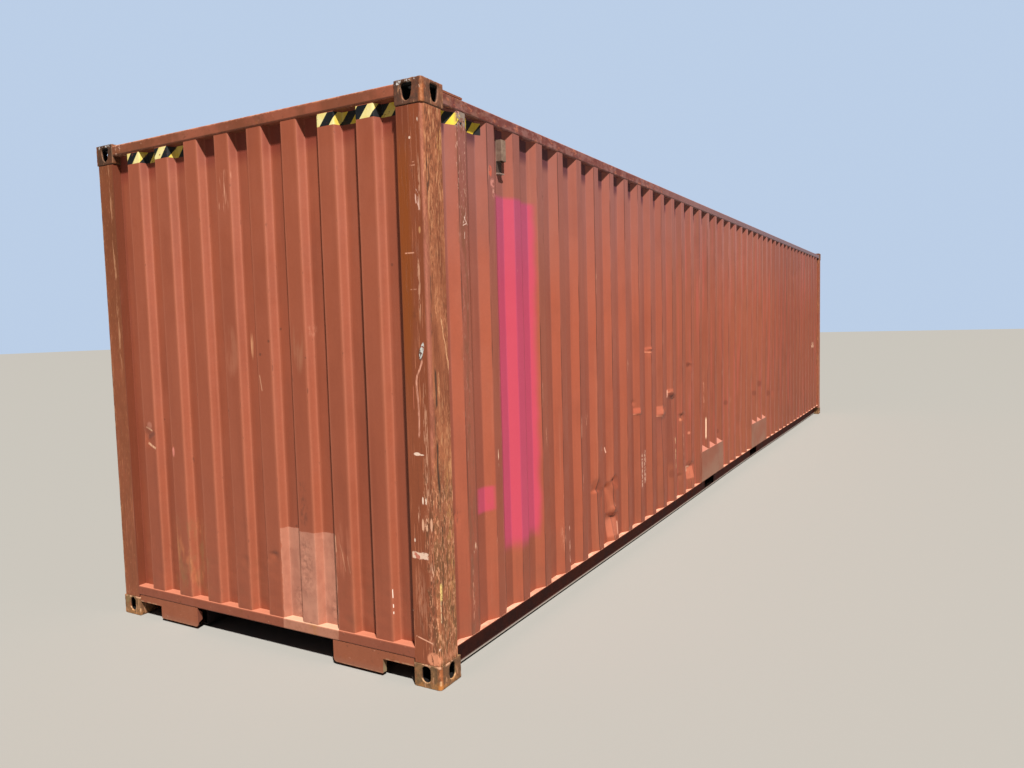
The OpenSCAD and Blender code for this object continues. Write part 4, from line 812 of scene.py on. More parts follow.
def mat_vent():
    nb = NB("vent_hood")
    a = nb.noise(26, 4, 0.7, off=2)
    c = nb.mix(a.ss(0.35, 0.65), rgb(150, 124, 106), rgb(124, 98, 82))
    c = nb.mix(nb.noise(50, 4, 0.7, sz=0.4, off=8).ss(0.60, 0.70) * 0.5, c, rgb(150, 112, 90))
    # painted light: faces lighter or darker by the way they face, painted shade in the opening band, a pale lip below
    # it and a painted highlight on upward faces
    nx_ = nb.up()[0].abs()
    c = nb.mix(nx_.band(0.25, 0.85, 0.06) * 0.8, c, rgb(176, 146, 124))
    c = nb.mix(nx_.ss(0.88, 0.95) * 0.35, c, rgb(84, 60, 54))
    c = nb.mix(nb.z.band(2.576, 2.636, 0.004) * 0.8, c, rgb(44, 34, 32))
    c = nb.mix(nb.z.ss(2.574, 2.571) * nb.z.ss(2.560, 2.5665) * 0.8, c, rgb(156, 134, 124))
    c = nb.mix(nb.up()[2].ss(0.4, 0.9) * 0.8, c, rgb(196, 166, 148))
    return nb.finish(c, 0.6, a * 0.5, 0.0008, spec=0.4)


def mat_flat(name, c0, c1, rough, scale=20.0, metallic=0.0, spec=0.5, bump=0.0006, rust=0.0):
    nb = NB(name)
    a = nb.noise(scale, 4, 0.65, off=2)
    b = nb.noise(scale * 4, 4, 0.7, off=5)
    c = nb.mix(a.ss(0.35, 0.65), c0, c1)
    met = metallic
    if rust:
        r = nb.noise(scale * 0.5, 5, 0.7, sz=0.5, off=11).ss(0.62 - 0.14 * rust, 0.74 - 0.14 * rust)
        c = nb.mix(r * 0.85, c, rust_mix(nb, 31))
        met = (r * -metallic) + metallic
    return nb.finish(c, a.ss(0.2, 0.8, rough - 0.08, rough + 0.1), a * 0.5 + b * 0.5, bump, metallic=met, spec=spec)


def mat_ply():
    nb = NB("floor_plywood")
    g = nb.noise(6, 5, 0.65, sx=0.25, sy=7.0, sz=1.0, off=3, dist=0.6)
    g2 = nb.noise(40, 3, 0.6, sx=0.08, sy=3.0, off=8)
    c = nb.mix(g.ss(0.3, 0.7), rgb(128, 84, 54), rgb(164, 116, 78))
    c = nb.mix(g2.ss(0.5, 0.7) * 0.5, c, rgb(96, 60, 38))
    c = nb.mix(nb.noise(2.5, 4, 0.6, off=17).ss(0.45, 0.7) * 0.5, c, rgb(92, 68, 52))
    return nb.finish(c, 0.62, g * 0.6 + g2 * 0.6, 0.0008, spec=0.4)


M_END, M_SIDE = mat_wall_end(), mat_wall_side()
M_PLAIN, M_ROOF = mat_wall_plain(), mat_wall_plain("paint_roof", top=True)
M_DOOR = mat_wall_plain("paint_doors", seed=40.0)
M_FRAME, M_FRAME2 = mat_frame(), mat_frame("paint_frame_worn", 0.6, 21.0)
M_FRONTRAIL = mat_frame("paint_front_rail", 0.55, 31.0, "front")
M_TOPRAIL, M_SILL = mat_frame("paint_top_rail", 0.45, 5.0, "top"), mat_frame("paint_sill", 0.45, 8.0, "sill")
M_PLATE = mat_frame("paint_plates", 0.5, 14.0, "plate")
M_POSTN, M_POST, M_POSTR = mat_post("post_near", "near"), mat_post("post_worn", "front"), mat_post("post_rear", "rear")
M_CAST, M_UNDER, M_RAIL, M_PAD, M_VENT = mat_cast(), mat_under(), mat_rail_low(), mat_pad(), mat_vent()
M_ZINC = mat_flat("galvanised", rgb(164, 160, 154), rgb(136, 132, 128), 0.46, 24.0, 0.55, 0.5, 0.0006, rust=0.7)
M_RUBBER = mat_flat("gasket_rubber", rgb(38, 37, 37), rgb(56, 53, 51), 0.72, 14.0, 0.0, 0.4, 0.0008)
M_PLY = mat_ply()


# ------------------------------------------------------------------ mesh helpers
def add(name, verts, faces, mat, rep=(), sharp=35.0, attrs=None, smooth=True):
    me = bpy.data.meshes.new(name)
    me.from_pydata([tuple(map(float, v)) for v in verts], [], [tuple(int(q) for q in f) for f in faces])
    me.update()
    for k, vals in (attrs or {}).items():
        at = me.attributes.new(k, "FLOAT", "POINT")
        at.data.foreach_set("value", np.asarray(vals, np.float32))
    ob = bpy.data.objects.new(name, me)
    bpy.context.scene.collection.objects.link(ob)
    me.materials.append(mat)
    if smooth:
        me.polygons.foreach_set("use_smooth", [True] * len(me.polygons))
        me.set_sharp_from_angle(angle=math.radians(sharp))
    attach(ob, "root")
    if rep:
        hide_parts(*rep)
    return ob


def wnoise(x, z, seed, scale, octaves=3):
    """smooth repeatable noise from sums of sines, about -1 to 1"""
    rs = np.random.RandomState(seed)
    out = np.zeros(np.broadcast(x, z).shape)
    amp, tot = 1.0, 0.0
    for o in range(octaves):
        for _ in range(4):
            a = rs.uniform(0, 2 * math.pi)
            f = (2 ** o) / scale * rs.uniform(0.7, 1.3)
            out = out + amp * 0.5 * np.sin(2 * math.pi * f * (x * math.cos(a) + z * math.sin(a)) + rs.uniform(0, 6.28))
        tot += amp
        amp *= 0.5
    return out / tot


def corners(a, b, first, n, c, s, p, d):
    """corner points (u, depth) of a corrugated sheet's outer face from a to b"""
    pts = [(a, d)]
    for i in range(n):
        mm = first + i * p
        pts += [(mm - c / 2 - s, d), (mm - c / 2, 0.0), (mm + c / 2, 0.0), (mm + c / 2 + s, d)]
    pts.append((b, d))
    return [q for i, q in enumerate(pts) if i == 0 or math.hypot(q[0] - pts[i - 1][0], q[1] - pts[i - 1][1]) > 1e-6]


def rounded(pts, r, step):
    """open polyline with its corners rounded, subdivided: rows (u, d, nu, nd, bend, arc); normal points outwards (-d)"""
    segs = []
    P = [np.array(q, float) for q in pts]
    tl = [0.0] * len(P)
    for i in range(1, len(P) - 1):
        a, b = P[i] - P[i - 1], P[i + 1] - P[i]
        a, b = a / np.linalg.norm(a), b / np.linalg.norm(b)
        ang = math.acos(max(-1, min(1, float(a @ b))))
        tl[i] = r * math.tan(ang / 2)
    out = []
    for i in range(len(P) - 1):
        a, b = P[i], P[i + 1]
        L = np.linalg.norm(b - a)
        t = (b - a) / L
        nrm = np.array([t[1], -t[0]])
        q0, q1 = a + t * tl[i], b - t * tl[i + 1]
        l = np.linalg.norm(q1 - q0)
        st = step(0.5 * (a[0] + b[0])) if callable(step) else step
        k = max(1, int(math.ceil(l / st)))
        for j in range(k + 1):
            q = q0 + (q1 - q0) * j / k
            near = min(l * j / k, l * (k - j) / k)
            out.append([q[0], q[1], nrm[0], nrm[1], 1.0 if near < 1e-6 else 0.0])
        if i < len(P) - 2:
            b2 = P[i + 2]
            t2 = (b2 - b) / np.linalg.norm(b2 - b)
            n2 = np.array([t2[1], -t2[0]])
            nm = nrm + n2
            nm /= np.linalg.norm(nm)
            q2 = b + t2 * tl[i + 1]
            mid = (q1 + q2) / 2
            away = b - mid
            ang = math.acos(max(-1, min(1, float(t @ t2))))
            sag = r * (1 / math.cos(ang / 2) - 1)
            dist = np.linalg.norm(away)
            if dist > 1e-9:
                mid = b - away / dist * sag
            out.append([mid[0], mid[1], nm[0], nm[1], 1.0])
    out = np.array(out)
    arc = np.r_[0, np.cumsum(np.hypot(np.diff(out[:, 0]), np.diff(out[:, 1])))]
    return np.c_[out, arc]


def sheet_mesh(prof, rows, t, place, disp, back_rows=4):
    """closed corrugated sheet: prof from rounded(), rows = heights, place(u, d, z) -> xyz, disp(u, z, d) -> extra depth.
    The back is coarser than the front and never stands in front of it."""
    n, k = len(prof), len(rows)
    U, Z = np.meshgrid(prof[:, 0], rows, indexing="ij")
    D = np.repeat(prof[:, 1][:, None], k, 1)
    E = disp(U, Z, D)
    F = place(U, D + E, Z)
    # columns kept at the back: the ends, the middle of each bend and the middle of each flat
    bend = prof[:, 4] > 0.5
    bc = [0]
    i = 1
    while i < n - 1:
        if bend[i] and bend[i - 1] and bend[i + 1]:
            bc.append(i)
        i += 1
    bc.append(n - 1)
    full = [bc[0]]
    for a_, b_ in zip(bc[:-1], bc[1:]):
        if b_ - a_ > 3:
            full.append((a_ + b_) // 2)
        full.append(b_)
    bc = sorted(set(full))
    br = sorted(set(list(range(0, k, back_rows)) + [k - 1]))
    from_r = np.array(br)
    Eb = np.zeros((len(bc), len(br)))
    for jj, j in enumerate(br):
        j0, j1 = br[max(0, jj - 1)], br[min(len(br) - 1, jj + 1)]
        col = E[:, j0:j1 + 1].max(1)
        for ii, c in enumerate(bc):
            i0, i1 = bc[max(0, ii - 1)], bc[min(len(bc) - 1, ii + 1)]
            Eb[ii, jj] = max(0.35 * col[i0:i1 + 1].max() + 0.65 * E[c, j], col[c]) if len(bc) else 0
    Ub, Zb = U[np.ix_(bc, br)], Z[np.ix_(bc, br)]
    Db = D[np.ix_(bc, br)]
    nu, nd = prof[bc, 2][:, None], prof[bc, 3][:, None]
    B = place(Ub - nu * t, Db + Eb - nd * t, Zb)
    verts = np.r_[F.reshape(-1, 3), B.reshape(-1, 3)]
    off, kb = n * k, len(br)
    i, j = np.meshgrid(np.arange(n - 1), np.arange(k - 1), indexing="ij")
    a = (i * k + j).ravel()
    faces = np.c_[a, a + k, a + k + 1, a + 1].tolist()
    i, j = np.meshgrid(np.arange(len(bc) - 1), np.arange(kb - 1), indexing="ij")
    a = (i * kb + j).ravel() + off
    faces += np.c_[a + 1, a + kb + 1, a + kb, a].tolist()
    for jj in range(kb - 1):
        lo = list(range(br[jj], br[jj + 1] + 1))
        faces.append(lo + [off + jj + 1, off + jj])
        e, eb = (n - 1) * k, off + (len(bc) - 1) * kb
        faces.append([e + q for q in reversed(lo)] + [eb + jj, eb + jj + 1])
    for ii in range(len(bc) - 1):
        cols = list(range(bc[ii], bc[ii + 1] + 1))
        faces.append([c * k for c in reversed(cols)] + [off + ii * kb, off + (ii + 1) * kb])
        faces.append([c * k + k - 1 for c in cols] + [off + (ii + 1) * kb + kb - 1, off + ii * kb + kb - 1])
    dmax = max(1e-9, prof[:, 1].max())
    def both(v):
        return np.r_[np.repeat(v, k), np.repeat(v[bc], kb)]
    attrs = {"bend": both(prof[:, 4]), "arc": both(prof[:, 5]), "dep": both(prof[:, 1] / dmax)}
    return verts, faces, attrs


def flip(faces):
    return [f[::-1] for f in faces]


def fix_normals(ob):
    bm = bmesh.new()
    bm.from_mesh(ob.data)
    bmesh.ops.recalc_face_normals(bm, faces=bm.faces)
    bm.to_mesh(ob.data)
    bm.free()


# ------------------------------------------------------------------ side walls
CY = 1.211


def bow(x, z):
    """the left wall's foot is pushed in along its middle"""
    a = 0.019 * np.exp(-((x - 0.5) / 2.3) ** 2)
    g = np.clip((2.3 - z) / 1.9, 0, 1)
    return a * (g * g * (3 - 2 * g))


def turned(x, z, cx, cz, ang):
    a = math.radians(ang)
    return (x - cx) * math.cos(a) + (z - cz) * math.sin(a), -(x - cx) * math.sin(a) + (z - cz) * math.cos(a)


def bowl(x, z, cx, cz, rx, rz, depth, ang=0.0):
    """soft round dent"""
    u, v = turned(x, z, cx, cz, ang)
    return depth * np.exp(-((u / rx) ** 2 + (v / rz) ** 2))


def pit(x, z, cx, cz, ru, up, dn, depth, ang=0.0, p=1.25):
    """creased dent that reaches up above its deepest point and dn below it"""
    u, v = turned(x, z, cx, cz, ang)
    r = np.sqrt((u / ru) ** 2 + (v / np.where(v > 0, up, dn)) ** 2)
    return depth * np.clip(1 - r, 0, 1) ** p


def crease(x, z, cx, cz, w, l, depth, ang=0.0):
    """sharp fold along its length l, falling off over w"""
    u, v = turned(x, z, cx, cz, ang)
    return depth * np.exp(-np.abs(v) / w) * np.exp(-((u / l) ** 4))


def ledge(x, z, cx, cz, w, h, depth, ang=0.0, edge=0.005):
    """pushed in below a sharp upper lip, easing out downwards over h"""
    u, v = turned(x, z, cx, cz, ang)
    s = 1 / (1 + np.exp(np.clip(v / edge, -40, 40)))
    f = np.where(v < 0, np.exp(-(np.abs(v) / h) ** 1.6), 1.0)
    return depth * s * f * np.exp(-np.abs(u / w) ** 3)


def left_dents(x, z, d):
    e = bow(x, z)
    e = e + 0.0010 * wnoise(x, z, 3, 1.1) + 0.0006 * wnoise(x, z, 5, 0.35)
    e = e + 0.0018 * np.clip((0.9 - z) / 0.7, 0, 1) * wnoise(x, z, 8, 0.30)
    lb = lambda i: SF + SP * i - 0.036                       # where slope i meets its crest
    sc = lambda i: lb(i) - 0.034                             # middle of slope i
    e = e + pit(x, z, sc(6) + 0.022, 0.598, 0.070, 0.080, 0.026, 0.030) + ledge(x, z, lb(6) + 0.02, 0.590, 0.075, 0.38, 0.015)
    e = e + pit(x, z, lb(6) + 0.060, 0.520, 0.030, 0.05, 0.16, 0.010) - pit(x, z, sc(6) - 0.045, 0.600, 0.02, 0.04, 0.10, 0.004)
    # double dent with a hooked lower lip
    e = e + pit(x, z, sc(7) - 0.016, 0.560, 0.060, 0.050, 0.16, 0.034, 18) + pit(x, z, sc(7) + 0.045, 0.612, 0.052, 0.034, 0.09, 0.030, 34)
    e = e + pit(x, z, lb(7) - 0.006, 0.345, 0.110, 0.036, 0.24, 0.036, -8) - pit(x, z, lb(7) - 0.005, 0.400, 0.055, 0.032, 0.03, 0.010)
    e = e + pit(x, z, sc(7) - 0.052, 0.46, 0.020, 0.16, 0.12, 0.018)
    e = e + pit(x, z, sc(9) - 0.036, 1.125, 0.030, 0.03, 0.03, 0.010) - pit(x, z, sc(9) + 0.01, 1.037, 0.065, 0.055, 0.010, 0.010)
    e = e + ledge(x, z, lb(9), 1.033, 0.055, 0.25, 0.005, 0, 0.012)
    e = e - pit(x, z, sc(10) + 0.02, 1.530, 0.055, 0.035, 0.010, 0.006) + pit(x, z, sc(10) + 0.02, 1.512, 0.060, 0.016, 0.050, 0.008)
    e = e - pit(x, z, sc(11) + 0.03, 0.968, 0.070, 0.050, 0.012, 0.006) + ledge(x, z, lb(11) + 0.02, 0.948, 0.075, 0.30, 0.018, 0, 0.012)
    e = e + pit(x, z, lb(11) + 0.03, 1.022, 0.050, 0.03, 0.03, 0.006)
    e = e - pit(x, z, sc(12) + 0.015, 1.112, 0.045, 0.040, 0.012, 0.005) + ledge(x, z, lb(12) + 0.02, 1.090, 0.070, 0.40, 0.024, 0, 0.007)
    e = e + pit(x, z, sc(13) + 0.03, 0.895, 0.055, 0.026, 0.060, 0.024) + ledge(x, z, lb(13) + 0.02, 0.885, 0.05, 0.2, 0.006)
    e = e - pit(x, z, sc(14) + 0.01, 1.353, 0.035, 0.022, 0.010, 0.006) + pit(x, z, sc(14) + 0.01, 1.337, 0.040, 0.008, 0.040, 0.008)
    e = e + pit(x, z, sc(14) + 0.03, 0.375, 0.090, 0.060, 0.20, 0.036) - pit(x, z, sc(14) + 0.01, 0.325, 0.03, 0.04, 0.05, 0.012)
    e = e + pit(x, z, sc(13) - 0.01, 0.345, 0.030, 0.03, 0.05, 0.014)
    e = e + pit(x, z, -2.36, 0.545, 0.035, 0.03, 0.04, 0.009) + pit(x, z, lb(8), 0.60, 0.03, 0.1, 0.1, 0.004)
    e = e + pit(x, z, -4.885, 2.505, 0.035, 0.02, 0.03, 0.006) + pit(x, z, -4.88, 2.25, 0.030, 0.02, 0.03, 0.005)
    e = e + pit(x, z, -4.055, 0.875, 0.030, 0.020, 0.035, 0.008) + pit(x, z, -5.868, 0.80, 0.045, 0.03, 0.05, 0.008)
    e = e + pit(x, z, -0.63, 0.95, 0.045, 0.025, 0.05, 0.012) + pit(x, z, -0.97, 0.70, 0.040, 0.025, 0.05, 0.010)
    e = e + crease(x, z, -0.36, 0.80, 0.016, 0.13, 0.008, 62) + crease(x, z, -0.16, 0.84, 0.014, 0.12, 0.006, 75)
    e = e + bowl(x, z, 0.66, 0.95, 0.10, 0.07, 0.010) + crease(x, z, 3.4, 2.4, 0.02, 0.33, 0.010, 0)
    e = e + bowl(x, z, 0.05, 0.52, 0.10, 0.10, 0.010) + pit(x, z, 1.9, 0.75, 0.12, 0.05, 0.12, 0.014)
    e = e + pit(x, z, 2.9, 1.2, 0.10, 0.06, 0.2, 0.010) + bowl(x, z, -1.0, 1.35, 0.07, 0.12, 0.006) + pit(x, z, 4.4, 0.6, 0.1, 0.05, 0.12, 0.014)
    e = e + bowl(x, z, -5.30, 1.9, 0.05, 0.5, 0.002) + bowl(x, z, -4.5, 1.2, 0.09, 0.5, 0.0025)
    # pinned to the frame at its edges
    pin = np.clip((z - 0.168) / 0.05, 0, 1) * np.clip((2.803 - z) / 0.05, 0, 1) * np.clip((x + 5.942) / 0.05, 0, 1) * np.clip((5.882 - x) / 0.05, 0, 1)
    return (e - bow(x, z)) * pin + bow(x, z)


def rows_at(z0, z1, knots):
    """heights from z0 to z1; knots = [(upto, step)]"""
    out, z = [z0], z0
    for upto, st in knots:
        upto = min(upto, z1)
        k = max(1, int(round((upto - z) / st)))
        out += list(z + (upto - z) * (np.arange(k) + 1) / k)
        z = upto
    return np.array(out)


Z0, Z1 = 0.168, 2.803
side_pts = corners(-5.942, 5.882, SF, 42, 0.072, 0.068, SP, 0.036)
side_prof = rounded(side_pts, 0.012, lambda u: 0.0150 if u < -1.9 else 0.026)


def place_left(U, D, Z):
    return np.stack([U, -CY + D, Z], -1)


parts = (("left_wall_near", -6.0, -4.51, [(0.5, 0.02), (1.0, 0.02), (2.1, 0.05), (2.6, 0.025), (Z1, 0.03)]),
         ("left_wall_middle", -4.51, -1.73, [(0.34, 0.02), (0.64, 0.007), (0.90, 0.016), (1.19, 0.007), (1.34, 0.018), (1.56, 0.009), (2.7, 0.08), (Z1, 0.03)]),
         ("left_wall_far", -1.73, 6.0, [(1.3, 0.032), (2.2, 0.09), (2.5, 0.04), (Z1, 0.06)]))
walls = []
for nm, xa, xb, knots in parts:
    i0 = int((side_prof[:, 0] <= xa).sum())
    i1 = int((side_prof[:, 0] <= xb).sum())
    v, f, at = sheet_mesh(side_prof[max(0, i0 - 1):i1], rows_at(Z0, Z1, knots), 0.002, place_left, left_dents)
    walls.append(add(nm, v, f, M_SIDE, ("left_side_wall",), 28, at))


def right_dents(x, z, d):
    e = 0.0011 * wnoise(x, z, 13, 1.1) + 0.0006 * wnoise(x, z, 15, 0.35)
    rs = np.random.RandomState(4)
    for _ in range(18):
        cx, cz = rs.uniform(-5.6, 5.6), rs.uniform(0.3, 1.6)
        e = e + pit(x, z, cx, cz, rs.uniform(0.06, 0.13), rs.uniform(0.03, 0.06), rs.uniform(0.05, 0.2), rs.uniform(0.006, 0.018), rs.uniform(-20, 20))
    pin = np.clip((z - 0.168) / 0.05, 0, 1) * np.clip((2.803 - z) / 0.05, 0, 1) * np.clip((x + 5.942) / 0.05, 0, 1) * np.clip((5.882 - x) / 0.05, 0, 1)
    return e * pin


prof_r = rounded(side_pts, 0.012, 0.035)
v, f, at = sheet_mesh(prof_r, rows_at(Z0, Z1, [(1.7, 0.035), (Z1, 0.10)]), 0.002, lambda U, D, Z: np.stack([U, CY - D, Z], -1), right_dents)
walls.append(add("right_wall", v, flip(f), M_PLAIN, ("right_side_wall",), 28, at))

# ------------------------------------------------------------------ front wall
EX = 6.088
end_pts = corners(-1.065, 1.065, -3.5 * EP, 8, 0.110, 0.018, EP, 0.0456)


def end_dents(y, z, d):
    e = 0.0008 * wnoise(y, z, 23, 0.8) + 0.0004 * wnoise(y, z, 25, 0.25)
    e = e + pit(y, z, 0.90, 1.15, 0.06, 0.06, 0.09, 0.008) + crease(y, z, 0.90, 1.13, 0.012, 0.05, 0.004, 50)
    e = e + pit(y, z, -0.125, 0.535, 0.050, 0.022, 0.050, 0.010, -6) + crease(y, z, -0.09, 0.50, 0.010, 0.05, 0.003, 30)
    e = e + pit(y, z, 0.10, 0.48, 0.04, 0.03, 0.06, 0.004) + pit(y, z, -0.36, 0.83, 0.022, 0.02, 0.03, 0.005)
    for k, (cy, cz, r, dd) in enumerate(((-0.355, 0.605, 0.028, 0.0035), (-0.362, 0.56, 0.022, 0.004), (-0.350, 0.525, 0.025, 0.0035), (-0.360, 0.485, 0.022, 0.005),
                                         (-0.352, 0.455, 0.024, 0.005), (-0.362, 0.425, 0.020, 0.0045), (-0.350, 0.40, 0.022, 0.003), (-0.372, 0.375, 0.018, 0.003),
                                         (-0.275, 0.335, 0.020, 0.005), (-0.262, 0.315, 0.016, 0.004), (-0.27, 0.245, 0.030, 0.004), (-0.245, 0.235, 0.020, 0.003),
                                         (-0.525, 0.30, 0.022, 0.004), (-0.545, 0.275, 0.018, 0.003), (-0.51, 0.262, 0.020, 0.003), (-0.44, 0.655, 0.020, -0.003))):
        e = e + pit(y, z, cy, cz, r, r * 0.6, r, dd, 25 * math.sin(k * 2.1))
    e = e + pit(y, z, -0.64, 0.60, 0.03, 0.04, 0.06, 0.003) + pit(y, z, 0.45, 1.9, 0.03, 0.015, 0.025, 0.005) + pit(y, z, 0.66, 1.1, 0.02, 0.015, 0.02, 0.003)
    e = e + 0.0010 * np.clip((0.8 - z) / 0.5, 0, 1) * wnoise(y, z, 27, 0.15)
    pin = np.clip((z - 0.1925) / 0.04, 0, 1) * np.clip((2.823 - z) / 0.04, 0, 1) * np.clip((1.065 - np.abs(y)) / 0.04, 0, 1)
    return e * pin


prof_e = rounded(end_pts, 0.007, 0.0125)
v, f, at = sheet_mesh(prof_e, rows_at(0.1925, 2.823, [(0.72, 0.009), (1.3, 0.02), (2.7, 0.06), (2.823, 0.02)]), 0.002,
                      lambda U, D, Z: np.stack([-EX + D, U, Z], -1), end_dents)
walls.append(add("front_wall", v, flip(f), M_END, ("front_end_wall",), 28, at))

# ------------------------------------------------------------------ roof
RY, RZ, RD = 1.196, 2.863, 0.020
roof_pts = corners(-6.033, 5.951, -27 * 0.209 + 0.002, 55, 0.091, 0.0135, 0.209, RD)


def roof_dents(x, y, d):
    e = 0.0018 * wnoise(x, y, 33, 1.4) + 0.0008 * wnoise(x, y, 35, 0.4)
    rs = np.random.RandomState(9)
    for _ in range(16):
        e = e + bowl(x, y, rs.uniform(-5.6, 5.6), rs.uniform(-0.95, 0.95), rs.uniform(0.08, 0.25), rs.uniform(0.08, 0.25), rs.uniform(0.004, 0.012), rs.uniform(0, 90))
    e = np.clip(e + 0.001, 0.0, None)
    pin = np.clip((RY - 0.03 - np.abs(y)) / 0.15, 0, 1) * np.clip((x + 6.02) / 0.08, 0, 1) * np.clip((5.94 - x) / 0.08, 0, 1)
    return e * pin * 0.9


def fade(y):
    """1 over the field, 0 at the closed ends of the corrugation"""
    t = np.clip((RY - 0.022 - np.abs(y)) / 0.018, 0, 1)
    return t * t * (3 - 2 * t)


roof_prof = rounded(roof_pts, 0.005, 0.05)
rows_y = np.unique(np.round(np.r_[-RY, -RY + 0.010, np.linspace(-RY + 0.022, -RY + 0.042, 6), np.linspace(-RY + 0.06, RY - 0.06, 44),
                                  np.linspace(RY - 0.042, RY - 0.022, 6), RY - 0.010, RY], 5))


def roof_mesh():
    n, k = len(roof_prof), len(rows_y)
    U, V = np.meshgrid(roof_prof[:, 0], rows_y, indexing="ij")
    hgt = (RD - roof_prof[:, 1])[:, None] * fade(V) - roof_dents(U, V, 0)
    # left and right flat borders are cut back round the castings
    top = np.stack([U, V, RZ + 0.002 + hgt], -1).reshape(-1, 3)
    low = top.copy()
    low[:, 2] -= 0.002
    q = np.arange(n * k).reshape(n, k)
    faces = []
    keep = np.ones((n - 1, k - 1), bool)
    um, vm = (U[:-1, :-1] + U[1:, 1:]) / 2, (V[:-1, :-1] + V[1:, 1:]) / 2
    keep &= ~((np.abs(um) > HX - 0.178) & (np.abs(vm) > HY - 0.162))
    for i in range(n - 1):
        for j in range(k - 1):
            if keep[i, j]:
                a, b, c_, d_ = int(q[i, j]), int(q[i + 1, j]), int(q[i + 1, j + 1]), int(q[i, j + 1])
                faces.append([a, b, c_, d_])
                faces.append([d_ + n * k, c_ + n * k, b + n * k, a + n * k])
                for (ii, jj, e0, e1) in ((i, j - 1, b, a), (i, j + 1, d_, c_), (i - 1, j, a, d_), (i + 1, j, c_, b)):
                    if not (0 <= ii < n - 1 and 0 <= jj < k - 1 and keep[ii, jj]):
                        faces.append([e0, e1, e1 + n * k, e0 + n * k])
    return np.r_[top, low], faces, {"bend": np.tile(np.repeat(roof_prof[:, 4], k), 2)}


# columns at the casting corners so that the cut is exact
def with_columns(prof, xs):
    for xv in xs:
        i = int((prof[:, 0] < xv).sum())
        if 0 < i < len(prof) and min(abs(prof[i, 0] - xv), abs(prof[i - 1, 0] - xv)) > 1e-4:
            t_ = (xv - prof[i - 1, 0]) / (prof[i, 0] - prof[i - 1, 0])
            row = prof[i - 1] * (1 - t_) + prof[i] * t_
            row[4] = 0.0
            prof = np.insert(prof, i, row, axis=0)
    return prof


roof_prof = with_columns(roof_prof, (-(HX - 0.178), HX - 0.178))
rows_y = np.unique(np.round(np.r_[rows_y, -(HY - 0.162), HY - 0.162], 5))
v, f, at = roof_mesh()
roof = add("roof_sheet", v, f, M_ROOF, ("roof_panel",), 32, at)
bm = bmesh.new()
bm.from_mesh(roof.data)
bmesh.ops.delete(bm, geom=[q for q in bm.verts if not q.link_faces], context="VERTS")
bm.to_mesh(roof.data)
bm.free()
walls.append(roof)


# ------------------------------------------------------------------ door panels
def door_sheet(name, s, seed):
    y0, y1 = DOOR["y0"], DOOR["y1"]
    mid = (y0 + y1) / 2
    pts = corners(y0, y1, mid - SP, 3, 0.072, 0.068, SP, 0.036)
    prof = rounded(pts, 0.010, 0.014)

    def dn(u, z, d):
        e = 0.0008 * wnoise(u, z, seed, 0.9) + 0.0005 * wnoise(u, z, seed + 1, 0.25)
        rs = np.random.RandomState(seed)
        for _ in range(4):
            e = e + pit(u, z, rs.uniform(y0 + .15, y1 - .15), rs.uniform(0.4, 2.3), 0.06, 0.04, 0.08, rs.uniform(0.003, 0.007))
        e = e + 0.0014
        pin = np.clip((z - DOOR["z0"]) / 0.06, 0, 1) * np.clip((DOOR["z1"] - z) / 0.06, 0, 1) * np.clip((u - y0) / 0.06, 0, 1) * np.clip((y1 - u) / 0.06, 0, 1)
        return np.clip(e, 0, None) * pin
    v, f, at = sheet_mesh(prof, rows_at(DOOR["z0"], DOOR["z1"], [(DOOR["z1"], 0.03)]), 0.002,
                          lambda U, D, Z: np.stack([DOOR["x"] - D, s * U, Z], -1), dn)
    node = ("left" if s < 0 else "right") + "_door_panel"
    return add(node + "_sheet", v, f, M_DOOR, (node,), 28, at)


b0, b1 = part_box("right_door_panel")
DOOR = {"x": b1[0], "y0": b0[1], "y1": b1[1], "z0": b0[2], "z1": b1[2]}
walls.append(door_sheet("l", -1, 51))
walls.append(door_sheet("r", 1, 61))
for o in walls:
    fix_normals(o)
    w = o.modifiers.new("wn", "WEIGHTED_NORMAL")
    w.keep_sharp = True
    w.weight = 60


# ------------------------------------------------------------------ pieces that keep a node's shape with more detail
def from_cad(node, name, mat, cuts=(), move=None, voxel=0.0, bevel=(0, 0), sharp=32.0):
    """a copy of a node's mesh: cut across X, bowed, softened or recast as a rough casting"""
    bm = bmesh.new()
    bm.from_mesh(N[node].data)
    for cx in cuts:
        bmesh.ops.bisect_plane(bm, geom=bm.verts[:] + bm.edges[:] + bm.faces[:], plane_co=(cx, 0, 0), plane_no=(1, 0, 0))
    if move:
        for q in bm.verts:
            q.co = move(q.co)
    me = bpy.data.meshes.new(name)
    bm.to_mesh(me)
    bm.free()
    ob = bpy.data.objects.new(name, me)
    bpy.context.scene.collection.objects.link(ob)
    if voxel:
        r = ob.modifiers.new("v", "REMESH")
        r.mode, r.voxel_size, r.adaptivity = "VOXEL", voxel, 0.0
        sm = ob.modifiers.new("s", "SMOOTH")
        sm.factor, sm.iterations = 0.5, 4
        dg = bpy.context.evaluated_depsgraph_get()
        new = bpy.data.meshes.new_from_object(ob.evaluated_get(dg))
        ob.modifiers.clear()
        ob.data = new
        bpy.data.meshes.remove(me)
        me = new
    me.materials.clear()
    me.materials.append(mat)
    me.polygons.foreach_set("material_index", [0] * len(me.polygons))
    me.polygons.foreach_set("use_smooth", [True] * len(me.polygons))
    if bevel[0]:
        me.set_sharp_from_angle(angle=math.radians(sharp))
        b = ob.modifiers.new("edges", "BEVEL")
        b.width, b.segments, b.limit_method, b.angle_limit = bevel[0], bevel[1], "ANGLE", math.radians(sharp)
        w = ob.modifiers.new("wn", "WEIGHTED_NORMAL")
        w.keep_sharp = False
    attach(ob, "root")
    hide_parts(node)
    return ob


